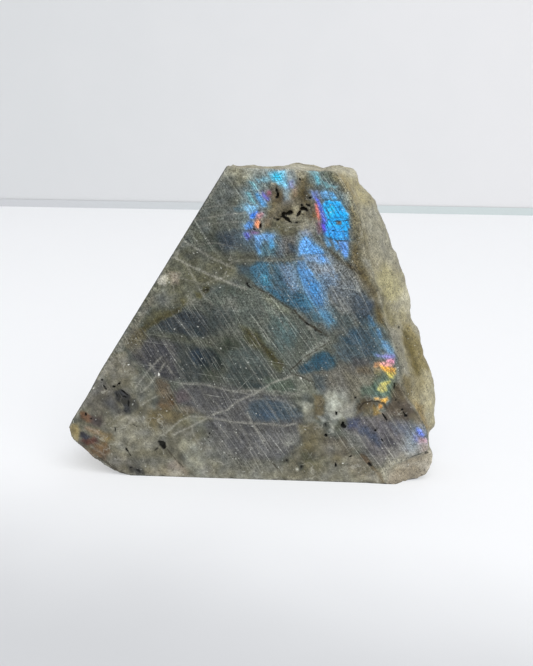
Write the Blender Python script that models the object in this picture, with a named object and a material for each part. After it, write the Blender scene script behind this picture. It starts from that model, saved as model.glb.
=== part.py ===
"""Labradorite slice: a slab sawn out of a rough lump of the stone, standing on its sawn base.

Metres, +Z up. The broad sawn face looks along -Y and stands upright. The origin is under the
middle of the stone, at the height of the surface that it stands on.
"""

import math

import bmesh
import bpy
from mathutils import Vector, noise

MM = 0.001

# The slab, in millimetres.
THICKNESS = 20.0
STEP_ROUND_RIM = 1.1
LEVELS_THROUGH_SLAB = 20

# The rim, seen from the front, with x to the right and z up: where the rough stone reaches,
# and where the sawn face ends there. Millimetres.
BROKEN_CORNER = (
    (39.2, 0.0, 33.0, 0.0),
    (42.2, 0.8, 33.5, 2.2),
    (43.9, 2.2, 34.4, 3.9),
    (44.6, 4.2, 37.2, 5.7),
    (44.8, 6.4, 41.4, 7.7),
    (44.5, 8.8, 43.8, 9.0),
)
CRUST = (
    (44.5, 8.8, 43.8, 9.0),
    (44.3, 11.0, 43.2, 11.8),
    (45.5, 12.6, 42.9, 14.2),
    (46.0, 15.4, 41.6, 16.8),
    (46.1, 18.5, 39.9, 19.6),
    (45.6, 22.2, 37.6, 22.6),
    (44.6, 26.0, 35.5, 26.2),
    (42.9, 29.4, 34.9, 30.4),
    (41.8, 33.5, 34.3, 34.4),
    (40.9, 36.6, 33.0, 37.6),
    (38.9, 39.4, 31.8, 40.2),
    (38.5, 42.0, 30.9, 43.0),
    (38.4, 44.6, 30.3, 46.2),
    (37.5, 48.2, 29.3, 49.8),
    (35.5, 53.4, 27.2, 54.0),
    (33.1, 58.4, 25.8, 58.6),
    (32.0, 62.6, 25.1, 63.4),
    (29.8, 67.0, 24.0, 67.4),
    (28.2, 69.7, 23.0, 69.9),
    (25.3, 72.4, 21.6, 72.4),
    (24.4, 75.0, 20.2, 74.3),
    (22.9, 76.6, 18.8, 76.0),
    (20.4, 76.7, 17.4, 76.8),
    (18.0, 76.8, 16.0, 76.8),
    (16.2, 76.2, 14.8, 76.7),
    (13.9, 77.0, 13.2, 76.8),
    (10.6, 77.2, 10.6, 76.8),
    (7.0, 76.9, 7.0, 76.9),
    (2.3, 76.3, 2.3, 77.1),
)
TOP_LEFT_CORNER = (-6.6, 76.5, -6.1, 77.3)
WORN_TIP = (
    (-45.3, 14.0, -45.3, 14.0),
    (-46.0, 11.6, -45.8, 11.9),
    (-44.9, 8.7, -44.6, 9.3),
    (-42.3, 6.2, -42.0, 6.9),
    (-39.3, 3.4, -39.0, 4.1),
    (-36.4, 1.2, -36.1, 1.8),
    (-34.5, 0.3, -34.0, 0.7),
    (-32.6, 0.0, -31.4, 0.0),
)

# Shares of the thickness, from the front: where the natural crust stands out furthest, and
# where the worn and broken stretches begin and end their slope, below a small ledge. The back
# face keeps a share of what stands out.
FURTHEST_DEPTH = 0.6
LEDGE_DEPTH, SLOPE_DEPTH = 0.04, 0.16
REACH_AT_BACK = 0.72

# The relief of the rough stone, in millimetres: its height, and the size of its forms. Less
# of it shows where the sawn face ends and where the stone stands out furthest.
LUMP_HEIGHT, LUMP_SIZE = 0.8, 6.5
GRAIN_HEIGHT, GRAIN_SIZE = 0.35, 2.4
SCALLOP_DEPTH, SCALLOP_SIZE = 1.0, 4.6
EDGE_RELIEF = 0.3
EDGE_DEPTHS = (0.0, FURTHEST_DEPTH)
EDGE_WIDTH = 0.12
FADE_TO_CUT = 2.5

# A groove that runs down the natural crust, in millimetres: where its deepest place is, and how
# deep, wide and long it is.
GROOVE_BEHIND_FACE, GROOVE_HEIGHT = 5.2, 34.0
GROOVE_DEEP, GROOVE_WIDE, GROOVE_LONG = 1.3, 1.7, 8.0

# Pits in the broad face: x, z, width, height, depth, and turn in degrees. Millimetres.
PITS = (
    (8.2, 65.9, 2.6, 3.6, 1.0, 38.0),
    (11.4, 67.4, 1.7, 3.4, 0.9, -48.0),
    (5.1, 71.2, 0.9, 2.2, 0.6, 10.0),
    (2.0, 63.9, 0.8, 1.5, 0.5, 0.0),
)
PIT_CENTRE_OUTSIDE = 0.25
PIT_RAGGEDNESS, PIT_RAGGED_SCALE = 0.35, 1.7

STONE_COLOUR = (0.14, 0.14, 0.115, 1.0)
STONE_ROUGHNESS = 0.5


def clear_scene():
    for obj in list(bpy.data.objects):
        bpy.data.objects.remove(obj)


def stone_material():
    material = bpy.data.materials.new("labradorite")
    material.use_nodes = True
    shader = material.node_tree.nodes["Principled BSDF"]
    shader.inputs["Base Color"].default_value = STONE_COLOUR
    shader.inputs["Roughness"].default_value = STONE_ROUGHNESS
    shader.inputs["Metallic"].default_value = 0.0
    return material


def smoothstep(share):
    share = min(1.0, max(0.0, share))
    return share * share * (3.0 - 2.0 * share)


def curve_through(stations, share):
    """The place at share 0 to 1 between the middle two of four stations, on a smooth curve."""
    before, start, end, after = stations
    return [
        0.5
        * (
            2.0 * b
            + (c - a) * share
            + (2.0 * a - 5.0 * b + 4.0 * c - d) * share**2
            + (3.0 * b - a - 3.0 * c + d) * share**3
        )
        for a, b, c, d in zip(before, start, end, after)
    ]


def rough_run(stations, broken):
    """Places along a rough stretch of the rim, each with how rough it is and if it is broken."""
    padded = [stations[0], *stations, stations[-1]]
    places = []
    for i in range(len(stations) - 1):
        steps = max(1, round(math.dist(stations[i][:2], stations[i + 1][:2]) / STEP_ROUND_RIM))
        places += [curve_through(padded[i : i + 4], k / steps) for k in range(steps)]
    places.append(list(stations[-1]))
    walked = [0.0]
    for a, b in zip(places, places[1:]):
        walked.append(walked[-1] + math.dist(a[:2], b[:2]))
    nearest_end = [min(far, walked[-1] - far) for far in walked]
    return [(p, smoothstep(far / FADE_TO_CUT), broken) for p, far in zip(places, nearest_end)]


def rim():
    """Every place round the stone's outline. Between the runs it is sawn straight."""
    corner = rough_run(BROKEN_CORNER, broken=True)
    crust = rough_run(CRUST, broken=False)
    top_left = [(list(TOP_LEFT_CORNER), 0.0, False)]
    return corner[:-1] + crust + top_left + rough_run(WORN_TIP, broken=True)


def outward(places, i):
    """The direction that points away from the stone in the plane of the broad face."""
    before, after = places[i - 2][0], places[(i + 2) % len(places)][0]
    return Vector((after[1] - before[1], 0.0, before[0] - after[0])).normalized()


def reach(depth, broken):
    """How much of the way from the sawn face's edge the stone stands out at this depth."""
    if depth > FURTHEST_DEPTH:
        past = (depth - FURTHEST_DEPTH) / (1.0 - FURTHEST_DEPTH)
        return 1.0 - (1.0 - REACH_AT_BACK) * smoothstep(past)
    if broken:
        return smoothstep((depth - LEDGE_DEPTH) / (SLOPE_DEPTH - LEDGE_DEPTH))
    return math.sin(0.5 * math.pi * depth / FURTHEST_DEPTH)


def hump(value, middle, half_width):
    """1 in the middle, falling smoothly to 0 on both sides."""
    return math.exp(-(((value - middle) / half_width) ** 2))


def groove(place, depth):
    """How deep the crust's groove is at a place, in millimetres."""
    if place.x < 0.0:
        return 0.0
    across = hump(depth * THICKNESS, GROOVE_BEHIND_FACE, GROOVE_WIDE)
    return GROOVE_DEEP * across * hump(place.z, GROOVE_HEIGHT, GROOVE_LONG)


def relief(place, depth):
    """How far the rough stone stands out at a place, in millimetres: lumps, grain and scallops."""
    lumps = LUMP_HEIGHT * noise.noise(place / LUMP_SIZE)
    grain = GRAIN_HEIGHT * noise.noise(place / GRAIN_SIZE)
    scallops = SCALLOP_DEPTH * (noise.voronoi(place / SCALLOP_SIZE)[0][0] - 0.5)
    at_edge = max(hump(depth, edge, EDGE_WIDTH) for edge in EDGE_DEPTHS)
    return (1.0 - (1.0 - EDGE_RELIEF) * at_edge) * (lumps + grain + scallops) - groove(place, depth)


def section(places, depth):
    """The stone's outline at one depth, as points in metres."""
    ring = []
    y = (depth - 0.5) * THICKNESS
    for i, ((stone_x, stone_z, face_x, face_z), rough, broken) in enumerate(places):
        face = Vector((face_x, y, face_z))
        point = face.lerp(Vector((stone_x, y, stone_z)), reach(depth, broken))
        if rough:
            point += outward(places, i) * rough * relief(point, depth)
        point.z = max(0.0, point.z)
        ring.append(point * MM)
    return ring


def middle_of_base(rings):
    """The point under the middle of the rings' box, at the height of the lowest point."""
    low = Vector(min(point[axis] for ring in rings for point in ring) for axis in range(3))
    high = Vector(max(point[axis] for ring in rings for point in ring) for axis in range(3))
    return Vector(((low.x + high.x) / 2.0, (low.y + high.y) / 2.0, low.z))


def loft(name, rings, origin):
    """A closed body through the rings, with flat sawn faces on the first and the last."""
    bm = bmesh.new()
    loops = [[bm.verts.new(point - origin) for point in ring] for ring in rings]
    for near, far in zip(loops, loops[1:]):
        for i in range(len(near)):
            bm.faces.new((near[i - 1], near[i], far[i], far[i - 1]))
    bm.faces.new(loops[0])
    bm.faces.new(loops[-1])
    bmesh.ops.recalc_face_normals(bm, faces=bm.faces)
    mesh = bpy.data.meshes.new(name)
    bm.to_mesh(mesh)
    bm.free()
    return mesh


def pit_cutter(number, pit, origin, cutters):
    """A ragged ellipsoid, almost half sunk in the broad face, that cuts one pit."""
    x, z, width, height, depth, turn = pit
    bm = bmesh.new()
    bmesh.ops.create_icosphere(bm, subdivisions=2, radius=1.0)
    for vertex in bm.verts:
        ragged = noise.noise(vertex.co * PIT_RAGGED_SCALE + Vector((number, 0.0, 0.0)))
        vertex.co *= 1.0 + PIT_RAGGEDNESS * ragged
        vertex.co = Vector((vertex.co.x * width, vertex.co.y * depth * 2.0, vertex.co.z * height))
        vertex.co *= MM / 2.0
    name = f"pit_cutter_{number}"
    mesh = bpy.data.meshes.new(name)
    bm.to_mesh(mesh)
    bm.free()
    cutter = bpy.data.objects.new(name, mesh)
    cutter.location = Vector((x, -THICKNESS / 2.0 - PIT_CENTRE_OUTSIDE, z)) * MM - origin
    cutter.rotation_euler.y = math.radians(turn)
    cutter.hide_render = True
    cutter.display_type = "WIRE"
    cutters.objects.link(cutter)
    return cutter


def build_slice(collection, cutters):
    places = rim()
    depths = [k / (LEVELS_THROUGH_SLAB - 1) for k in range(LEVELS_THROUGH_SLAB)]
    depths.insert(1, LEDGE_DEPTH)
    rings = [section(places, depth) for depth in depths]
    origin = middle_of_base(rings)
    mesh = loft("labradorite_slice", rings, origin)
    mesh.materials.append(stone_material())
    mesh.shade_smooth()
    mesh.set_sharp_from_angle(angle=math.radians(32))
    stone = bpy.data.objects.new("labradorite_slice", mesh)
    collection.objects.link(stone)
    for number, pit in enumerate(PITS, start=1):
        cut = stone.modifiers.new(f"pit_{number}", "BOOLEAN")
        cut.operation = "DIFFERENCE"
        cut.object = pit_cutter(number, pit, origin, cutters)


def main():
    clear_scene()
    stone_parts = bpy.data.collections.new("labradorite_slice")
    cutters = bpy.data.collections.new("cutters")
    for collection in (stone_parts, cutters):
        bpy.context.scene.collection.children.link(collection)
    build_slice(stone_parts, cutters)


main()
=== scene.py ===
"""Looks of the labradorite slice: its fine skin, the colours of the stone, and a plain pale studio.

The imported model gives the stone's shape and place. All lengths are metres, unless a name ends in
_mm or a comment says millimetres. Places on the broad face are millimetres, x to the right and z
up, in flat rows of x, z, x, z and so on.
"""

import logging
import math
from dataclasses import dataclass
from enum import Enum

import bmesh
import bpy
import numpy as np
from mathutils import Matrix, Vector, noise


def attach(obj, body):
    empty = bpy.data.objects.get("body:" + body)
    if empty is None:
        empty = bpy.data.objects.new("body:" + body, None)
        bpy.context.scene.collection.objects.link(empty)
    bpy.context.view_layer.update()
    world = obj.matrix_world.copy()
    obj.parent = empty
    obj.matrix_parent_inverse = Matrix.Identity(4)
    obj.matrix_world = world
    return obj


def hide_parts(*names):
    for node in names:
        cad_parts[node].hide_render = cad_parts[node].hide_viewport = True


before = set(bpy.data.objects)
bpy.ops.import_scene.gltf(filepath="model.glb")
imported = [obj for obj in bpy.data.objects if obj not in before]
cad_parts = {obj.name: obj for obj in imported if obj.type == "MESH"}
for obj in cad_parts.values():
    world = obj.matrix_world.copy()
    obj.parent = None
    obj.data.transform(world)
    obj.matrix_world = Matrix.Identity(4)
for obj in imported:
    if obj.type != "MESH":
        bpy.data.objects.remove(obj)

LOG = logging.getLogger("labradorite_slice")

MM = 0.001
NODE = "labradorite_slice"
BODY = "root"
FACE_Y = -0.010

# The angles, in degrees, that the saw's lines and the fine hatching run down at to the right.
SAW_SLOPE = 56.0
HATCH_SLOPE = 8.0

Colour = tuple[int, int, int]
Pair = tuple[float, float]
Triple = tuple[float, float, float]
Socket = bpy.types.NodeSocket


class Layer(Enum):
    """The painted layers, each an attribute of the skin that the finish reads."""

    TONE = "tone"
    FLASH = "flash"
    PALE_LINE = "pale_line"
    DARK_LINE = "dark_line"
    INCLUSION = "inclusion"
    SPARKLE = "sparkle"
    GRAINY = "grainy"
    CRUST = "crust"


class Grain(Enum):
    """What the stone's grain group puts out."""

    MOTTLE = "Mottle"
    FINE = "Fine"
    STREAK = "Streak"
    HATCH = "Hatch"
    SCRATCH = "Scratch"
    HAIR = "Hair"
    EDGE = "Edge"
    SPECK = "Speck"
    FLECK = "Glint_fleck"
    VEIN = "Vein"
    PIT = "Pit"


@dataclass(frozen=True)
class Patch:
    """A listed patch of colour on the broad face.

    The colour is what an eye sees in daylight, 0 to 255. The outline and its soft edge are mm.
    """

    colour: Colour
    soft: float
    outline: tuple[float, ...]
    cover: float = 1.0


@dataclass(frozen=True)
class Stroke:
    """A thin line on the broad face through a few places, with its half width in mm."""

    strength: float
    half_width: float
    route: tuple[float, ...]


@dataclass(frozen=True)
class Blot:
    """A small dark inclusion, or a painted highlight of a bright facet: its middle, length, width and turn
    in degrees.
    """

    x: float
    z: float
    length: float
    width: float
    turn: float = 0.0
    strength: float = 1.0


@dataclass(frozen=True)
class Cloud:
    """A soft cloud of colour on a side that isn't seen, by its share of three sizes of noise."""

    colour: Colour
    cover: float
    large: float = 0.0
    middle: float = 0.0
    small: float = 0.0


@dataclass(frozen=True)
class SawLines:
    """One family of the saw's lines.

    The swing is off the saw's slope, in degrees, the gap is a share of the saw's spacing, and the
    length of each line is mm.
    """

    swing: float
    gap: float
    length: float
    strength: float


@dataclass(frozen=True)
class Scratches:
    """One family of thin straight scratches: the slope in degrees, and the sizes in mm.

    The rarer they are, the more of each line is left out.
    """

    slope: float
    spacing: float
    width: float
    length: float
    rare: float = 0.5


STONE_GREY: Colour = (98, 101, 95)
CRUST_BEIGE: Colour = (153, 148, 128)
# The pale of chipped edges, also laid on as a painted highlight along the rim and a painted floor reflection
# along the base.
EDGE_WEAR_AND_HIGHLIGHT: Colour = (168, 166, 153)

SAW_LINES: tuple[SawLines, ...] = (
    SawLines(0.0, 1.0, 9.0, 0.9), SawLines(2.5, 0.43, 5.0, 0.6), SawLines(-6.0, 2.1, 16.0, 1.0),
    SawLines(9.0, 3.0, 8.0, 0.8), SawLines(-50.0, 3.3, 12.0, 0.5),
)

# Scratches too fine for the skin's points, which the material draws.
SAW_SCRATCHES: tuple[Scratches, ...] = (
    Scratches(SAW_SLOPE, 2.3, 0.24, 14.0), Scratches(SAW_SLOPE + 2.5, 1.1, 0.17, 7.0),
    Scratches(SAW_SLOPE - 4.0, 3.7, 0.26, 18.0), Scratches(SAW_SLOPE + 8.0, 5.1, 0.2, 8.0),
    Scratches(HATCH_SLOPE, 2.9, 0.18, 8.0, 0.54), Scratches(-48.0, 6.3, 0.18, 7.0, 0.58),
)
HAIR_CRACKS: tuple[Scratches, ...] = (
    Scratches(1.0, 1.0, 0.2, 3.0, 0.44), Scratches(-9.0, 2.1, 0.22, 5.0, 0.46),
    Scratches(SAW_SLOPE + 4.0, 1.2, 0.22, 4.0, 0.44), Scratches(75.0, 3.1, 0.2, 4.0),
)

# The colours of the sides that the photograph doesn't show.
SAWN_CLOUDS: tuple[Cloud, ...] = (
    Cloud((72, 78, 82), 0.8, large=1.0), Cloud((128, 126, 113), 0.6, large=-1.0, middle=0.5),
    Cloud((84, 84, 68), 0.6, middle=1.0, small=-0.5), Cloud((96, 99, 108), 0.5, large=-0.6, small=1.0),
)
CRUST_CLOUDS: tuple[Cloud, ...] = (
    Cloud((176, 169, 142), 0.7, middle=1.0), Cloud((128, 118, 92), 0.7, middle=-1.0, small=0.4),
    Cloud((112, 104, 84), 0.4, small=1.0),
)

# The broad fields of the sawn face, laid down first.
FIELD_PATCHES: tuple[Patch, ...] = (
    Patch((102, 106, 102), 2.4, (-18, 57, -4, 57, -1, 62, -3, 70, -1, 75, -6, 79, -9, 76)),
    Patch((103, 103, 90), 1.8, (-26, 44, -20, 57, -4, 55.5, -4, 51, -12, 48, -18, 44)),
    Patch((99, 104, 98), 2.0, (-8, 49, 0, 49.5, 10, 43.5, 19, 37, 8, 28, -2, 38, -9, 43)),
    Patch((113, 111, 100), 2.4, (-47, 10, -33, 32, -29, 29, -24, 18, -14, 15, -6, 0, -37, -1)),
    Patch((98, 98, 98), 2.0, (-17, 24, -4, 24, 8, 22, 13, 16, 12, 8, 6, 5, -6, 4, -9, 8, -12, 15)),
    Patch((107, 105, 107), 2.0, (25, 18, 36, 18, 43, 13, 39, 7, 31, 5, 27, 9, 23, 14)),
    Patch((113, 110, 97), 2.0, (-8, 4, 8, 5, 14, 12, 18, 11, 26, 7, 34, 4, 33, -1, -8, -1)),
    Patch((116, 119, 118), 2.0, (12, 57, 24, 55, 28, 48, 24, 38, 14, 41, 11, 47)),
    Patch((111, 109, 102), 2.0, (11, 27, 24, 32, 32, 29, 34, 21, 20, 23)),
    Patch((114, 108, 92), 1.5, (2, 62, 15, 61, 15.5, 70, 16, 77, 9, 78, 2.5, 72)),
    Patch((138, 132, 112), 1.2, (23.6, 70, 27.4, 64, 29.4, 58, 30.4, 54, 33.4, 47, 36.4, 40, 40, 33, 42, 27,
        43.4, 18, 40.4, 18, 38.4, 24, 36.2, 30, 34.8, 34, 32.4, 40, 30.4, 45, 28, 50, 25.6, 55, 24.4, 60)),
)

# The colours of the sawn face, from the upper left corner down.
TONE_PATCHES: tuple[Patch, ...] = (
    # below the top edge
    Patch((146, 145, 130), 1.2, (-6.4, 78, 2.5, 78, 1.5, 75.6, -1.5, 74, -5, 74, -7.6, 74.8)),
    Patch((118, 119, 108), 0.8, (-5.6, 75.2, -3.4, 74.6, -2.6, 73, -5, 72.6, -7.4, 74)),
    Patch((156, 157, 148), 0.9, (-0.8, 78, 9, 78, 9, 76.5, 4, 76.7, 2.5, 75.7, 0, 75.4)),
    Patch((172, 170, 152), 0.8, (7, 78.4, 15, 78.4, 13, 76.6, 11.3, 75.2, 9.4, 75.6, 7.3, 76.3)),
    Patch((112, 113, 98), 1.0, (13, 77.6, 19.5, 77.2, 20, 74, 17.5, 73.5, 14, 75)),
    Patch((92, 95, 84), 0.8, (15.4, 76.6, 18.5, 76.2, 19.6, 74.4, 17, 73.9, 15.8, 75)),
    Patch((62, 70, 77), 1.4, (-9.8, 60.6, -8, 61.8, -5.5, 62, -3.4, 61.2, -1.2, 60.6, 0, 58.8, -1.4, 57.6,
        -4, 58.3, -6.4, 57.8, -8.6, 58.6, -9.8, 59.6)),
    Patch((88, 97, 101), 1.0, (-4.5, 62.6, -1.8, 62.6, -0.6, 58.4, -2.6, 57.4, -4.6, 59)),
    Patch((96, 97, 88), 1.2, (-18, 58, -8, 57.3, 2, 56.5, -3, 54, -12, 55, -19, 56)),
    Patch((164, 168, 158), 1.0, (-2.4, 78, 10, 78, 10.4, 75, 8.8, 74.2, 7.6, 75.8, 3, 76.2, 0, 74.2,
        -2, 75.6), 0.55),
    # round the pits
    Patch((138, 134, 117), 0.8, (11.4, 66, 13, 65.9, 14.4, 64.8, 14.2, 63, 12, 62.8, 9.8, 64, 9.4, 65)),
    Patch((164, 158, 136), 0.5, (9, 68.6, 10.3, 68.4, 10.5, 66.4, 9.4, 66.1)),
    Patch((172, 168, 148), 0.25, (7.4, 66.4, 8, 66.2, 7.9, 65.7, 7.3, 65.9)),
    Patch((172, 168, 148), 0.25, (11.1, 67.4, 11.7, 67.3, 11.6, 66.7, 11.1, 66.8)),
    Patch((146, 153, 150), 0.6, (7.6, 76.4, 9.6, 76.4, 10, 74.6, 9.6, 73, 8.2, 72.8, 7.8, 74.4), 0.85),
    Patch((124, 124, 120), 0.8, (6.4, 71.6, 8.6, 71.6, 8.8, 69.2, 6.8, 69), 0.7),
    Patch((106, 98, 78), 0.6, (11.2, 75.4, 12.4, 76.2, 13.2, 75.2, 14, 73.6, 13.4, 71.5, 13.2, 68.9,
        11, 69.6, 10, 72, 10.6, 74)),
    Patch((168, 163, 143), 0.5, (9.4, 76.8, 12, 76.8, 12, 75.8, 11, 74.8, 9.8, 75)),
    Patch((138, 135, 120), 0.7, (8.4, 66.4, 10.2, 66.2, 12, 66, 14.2, 65.4, 14.8, 63.2, 12.8, 62,
        10.6, 62.8, 8.8, 64.2), 0.85),
    Patch((146, 143, 134), 0.5, (11.8, 64, 13.8, 64, 14.6, 62.4, 13, 61.8, 11.6, 62.6), 0.85),
    Patch((70, 62, 44), 0.5, (11.4, 72.6, 12.6, 72.2, 13, 70, 12, 69.4, 11.2, 71)),
    Patch((106, 104, 90), 1.0, (2.2, 65, 7, 65, 10, 64, 11, 62, 9.3, 61, 5, 61.8, 2.2, 62.5)),
    Patch((101, 90, 70), 0.6, (3.6, 73, 5.4, 73.4, 6.6, 72.2, 6.4, 69.3, 4.2, 69, 3.9, 71)),
    Patch((160, 138, 118), 0.7, (8.8, 73, 10, 72.8, 10.2, 70.8, 9.2, 70.2), 0.8),
    Patch((178, 156, 120), 0.4, (3.9, 73.9, 5.3, 73.6, 4.9, 73.1, 3.8, 73.3), 0.8),
    Patch((170, 166, 150), 0.6, (7.6, 71.6, 9, 71.4, 8.8, 69.8, 7.6, 69.9), 0.6),
    Patch((108, 107, 104), 1.0, (5.4, 61.2, 10.4, 61.2, 10.4, 57.2, 6, 57.2)),
    Patch((74, 82, 90), 0.6, (8.2, 59.4, 9.8, 59.6, 10.2, 57.6, 8.6, 57.4)),
    # the dark fringe inside the crust, and the seam that runs into it
    Patch((141, 132, 104), 1.0, (18.6, 76.6, 20.8, 75.4, 22.3, 72.4, 23.4, 69, 24.6, 64, 23, 64, 22, 69,
        20.6, 72.8, 18.4, 75)),
    Patch((108, 99, 76), 0.9, (22.8, 68, 24.2, 63, 24.8, 58, 25.4, 54.6, 27.6, 51.4, 29.4, 47.4, 31, 43,
        32, 39.6, 30.4, 40.6, 28.2, 46, 25.2, 51.4, 22.8, 57, 22.4, 61)),
    Patch((168, 165, 148), 0.4, (25.6, 56.2, 26.8, 56.2, 28.4, 54.2, 28, 53.6, 26.4, 54.8), 0.85),
    Patch((78, 72, 58), 0.45, (14.6, 62, 16.4, 60.2, 18.6, 58, 21.4, 56, 24.4, 53.9, 26, 52.8, 25.4, 52.3,
        22.6, 53.9, 19.6, 56, 17.2, 58.4, 15, 60.8)),
    Patch((122, 118, 106), 0.8, (23.4, 53.4, 25.6, 51.8, 28, 49.4, 29.4, 46.4, 28, 46, 25.8, 49.6,
        23.6, 51.6), 0.75),
    Patch((112, 106, 92), 0.6, (12.8, 62.4, 14.4, 61.8, 17, 59.4, 18.4, 57.4, 17, 57.6, 14.6, 60.4), 0.8),
    # right of the lower blue field
    Patch((124, 128, 128), 1.2, (17.5, 56.4, 20, 55.6, 23, 53, 24.5, 50.5, 22, 50, 19.4, 51.5, 16.2, 52,
        15.4, 54.6)),
    Patch((112, 118, 122), 1.2, (18, 50.5, 24, 50, 25, 47, 22, 45.6, 19, 46)),
    Patch((84, 92, 99), 1.2, (23.6, 47.6, 26.8, 48.4, 28.6, 46, 28.6, 42.6, 25.4, 41.2, 23.8, 43.6)),
    Patch((86, 94, 94), 1.0, (19.4, 43.4, 23.8, 43, 24.6, 40.4, 22.5, 38.9, 19.8, 39.6)),
    Patch((76, 90, 97), 1.1, (21, 36.6, 22.5, 38.8, 25.6, 39.9, 28.8, 39.6, 30.3, 37.2, 31.8, 34.4,
        30.2, 32.8, 25.6, 32.8, 22.4, 33.6)),
    Patch((64, 82, 94), 0.6, (22.2, 36.8, 23, 38.4, 25.8, 39.1, 26.6, 37, 24.8, 35.2, 22.8, 35.4)),
    Patch((70, 84, 94), 0.8, (26, 36, 28.6, 35.6, 29.4, 33.2, 27, 32.6)),
    Patch((84, 95, 100), 1.2, (19.6, 35.2, 22.6, 35.4, 25.4, 33.4, 28.4, 31.8, 25, 30.6, 20.8, 32)),
    Patch((92, 93, 94), 1.0, (24, 32.2, 29.2, 31.8, 29.2, 30, 24, 29.8)),
    Patch((106, 97, 82), 1.0, (25.4, 30, 29.6, 30.2, 29.4, 28, 25.4, 28.4), 0.9),
    # the pale-rimmed block in the middle
    Patch((94, 108, 107), 1.8, (4.6, 41.6, 8, 41.6, 10.4, 38, 9.6, 34.8, 7, 34, 5, 37)),
    Patch((124, 128, 115), 0.8, (1.6, 47.9, 5, 46.1, 9.4, 43.8, 8.6, 42.3, 5.5, 43.6, 2.2, 46.2)),
    Patch((136, 139, 131), 0.8, (12.6, 32.6, 16, 36, 18.6, 37.2, 18.8, 35.9, 15.6, 33.6, 11.6, 30.8)),
    Patch((92, 98, 92), 1.2, (-9.5, 49, -1.5, 48.4, -4, 45, -8, 44, -11, 45.5)),
    Patch((84, 85, 66), 1.0, (-3, 39.4, -0.8, 39.2, 1.6, 37, 4.4, 33.6, 7.6, 29.6, 6.8, 28.2, 4, 30.6,
        1.4, 33.8, -1.8, 36.6)),
    Patch((62, 60, 40), 0.4, (-1.6, 38.6, -0.6, 38.4, 0.9, 36.8, 2.9, 34.8, 4.8, 32.6, 7.4, 30.2, 7.1, 29.4,
        4.8, 31.2, 2.6, 33.4, 0.6, 35.4, -1.3, 37.4)),
    Patch((88, 95, 92), 1.4, (-6, 36, -1, 35.4, 4, 31, 3.4, 28, -3, 29, -8, 33), 0.9),
    # the slate fields at the left
    Patch((61, 66, 69), 0.8, (-23.4, 39.8, -21.4, 41, -18.8, 42, -16.6, 43, -12.6, 42.8, -11, 41, -10, 38.6,
        -11.4, 36.6, -14.6, 36.4, -18.6, 37, -22.6, 37.8)),
    Patch((76, 81, 79), 1.2, (-12, 44, -5.6, 43.6, -4.4, 40.6, -7.4, 37.6, -11, 37, -10.4, 40.6)),
    Patch((90, 92, 84), 0.8, (-25, 37, -18, 36.9, -12, 36.4, -5, 37, -3.6, 34, -9, 33.8, -16, 34.6,
        -24, 35.4), 0.9),
    Patch((68, 73, 64), 1.1, (-6.9, 36.4, -3.2, 36.3, -2.4, 34.6, -5.6, 34, -7.6, 34.8)),
    Patch((80, 80, 82), 1.0, (-29, 34.6, -25.4, 35.8, -20.5, 35.2, -17.2, 34, -18.4, 30, -17, 26,
        -20.2, 25.2, -24, 26.6, -27, 28.8, -29.6, 31)),
    Patch((74, 78, 77), 1.4, (-18.4, 34.4, -12, 33.8, -10.4, 29, -13, 25.2, -17, 25, -18.4, 29)),
    Patch((46, 57, 68), 0.7, (-15.4, 32.4, -13.8, 33.4, -11.6, 33.2, -9.8, 31.6, -9.8, 29.6, -12.6, 29.3,
        -14.8, 30.6)),
    Patch((64, 68, 61), 1.5, (-12.6, 29.2, -10.4, 30.6, -10.6, 33, -8.4, 34, -6.6, 32, -7.2, 28.4,
        -8.2, 25.8, -11.8, 25.8)),
    Patch((76, 82, 80), 1.2, (-6.2, 26.6, -7.2, 31.6, -4.4, 30.8, 0, 29.4, 3.6, 28, 4.4, 26.6, 2.4, 25.8,
        -1, 25.3, -4, 24.9)),
    Patch((64, 71, 70), 0.6, (-4.6, 24.9, -2, 25.3, 1.4, 25.1, 3.4, 24.5, 1.6, 23.9, -1.4, 23.8, -3.4, 24)),
    Patch((95, 104, 95), 1.0, (3, 26.4, 10, 26.2, 11, 24, 7, 22.8, 3.6, 23.6)),
    Patch((121, 124, 114), 1.2, (10.6, 27.2, 15.4, 26.4, 16.2, 23, 11.4, 22.4)),
    Patch((90, 97, 98), 1.0, (14.6, 28, 18, 27.4, 17.6, 23.8, 15.4, 24.2), 0.9),
    # between the pale veins
    Patch((95, 95, 95), 1.2, (-18, 24.2, -10, 24.2, -4, 22.4, -5, 19.2, -8, 17.4, -11, 16.9, -15, 17.6,
        -18.6, 20)),
    Patch((99, 92, 94), 1.0, (-19.2, 22.6, -16.4, 23, -15.4, 20.4, -18.4, 19.4), 0.9),
    Patch((82, 92, 99), 1.2, (-1, 17.8, 0, 20.4, 3.6, 21.2, 7.6, 20.6, 11, 19, 12.2, 17.2, 9.4, 15.9,
        4, 15.5, 0.4, 16)),
    Patch((74, 86, 97), 1.1, (0.4, 17.4, 2.6, 19.6, 5.4, 19.2, 6.6, 17.2, 4, 15.9, 1.4, 16.1)),
    Patch((148, 149, 141), 0.5, (8.2, 10.4, 10.4, 10.5, 10.6, 9.6, 8.4, 9.4), 0.8),
    Patch((74, 74, 68), 0.6, (7.8, 6, 9.4, 6, 9.2, 4.8, 8, 4.6)),
    Patch((66, 68, 62), 0.6, (11.6, 4.8, 13.2, 4.6, 13, 3, 11.8, 3)),
    Patch((176, 176, 164), 0.3, (11, 3.5, 11.8, 3.4, 11.7, 2.9, 11.1, 2.9)),
    # cream and ochre, lower right of the middle
    Patch((142, 142, 133), 1.2, (17.8, 23.4, 20, 24.6, 23.4, 24.2, 24.6, 21.4, 25.6, 18.6, 24.4, 16.4,
        21, 16, 18.4, 17.4)),
    Patch((174, 176, 163), 0.9, (17.8, 22.6, 19.4, 23.3, 21.6, 22.9, 22.8, 21.4, 23.6, 19.4, 23.8, 17.7,
        22.6, 16.7, 21, 16.4, 19.8, 16.7, 18.4, 18, 18, 19.4, 18.4, 20.7)),
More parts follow.
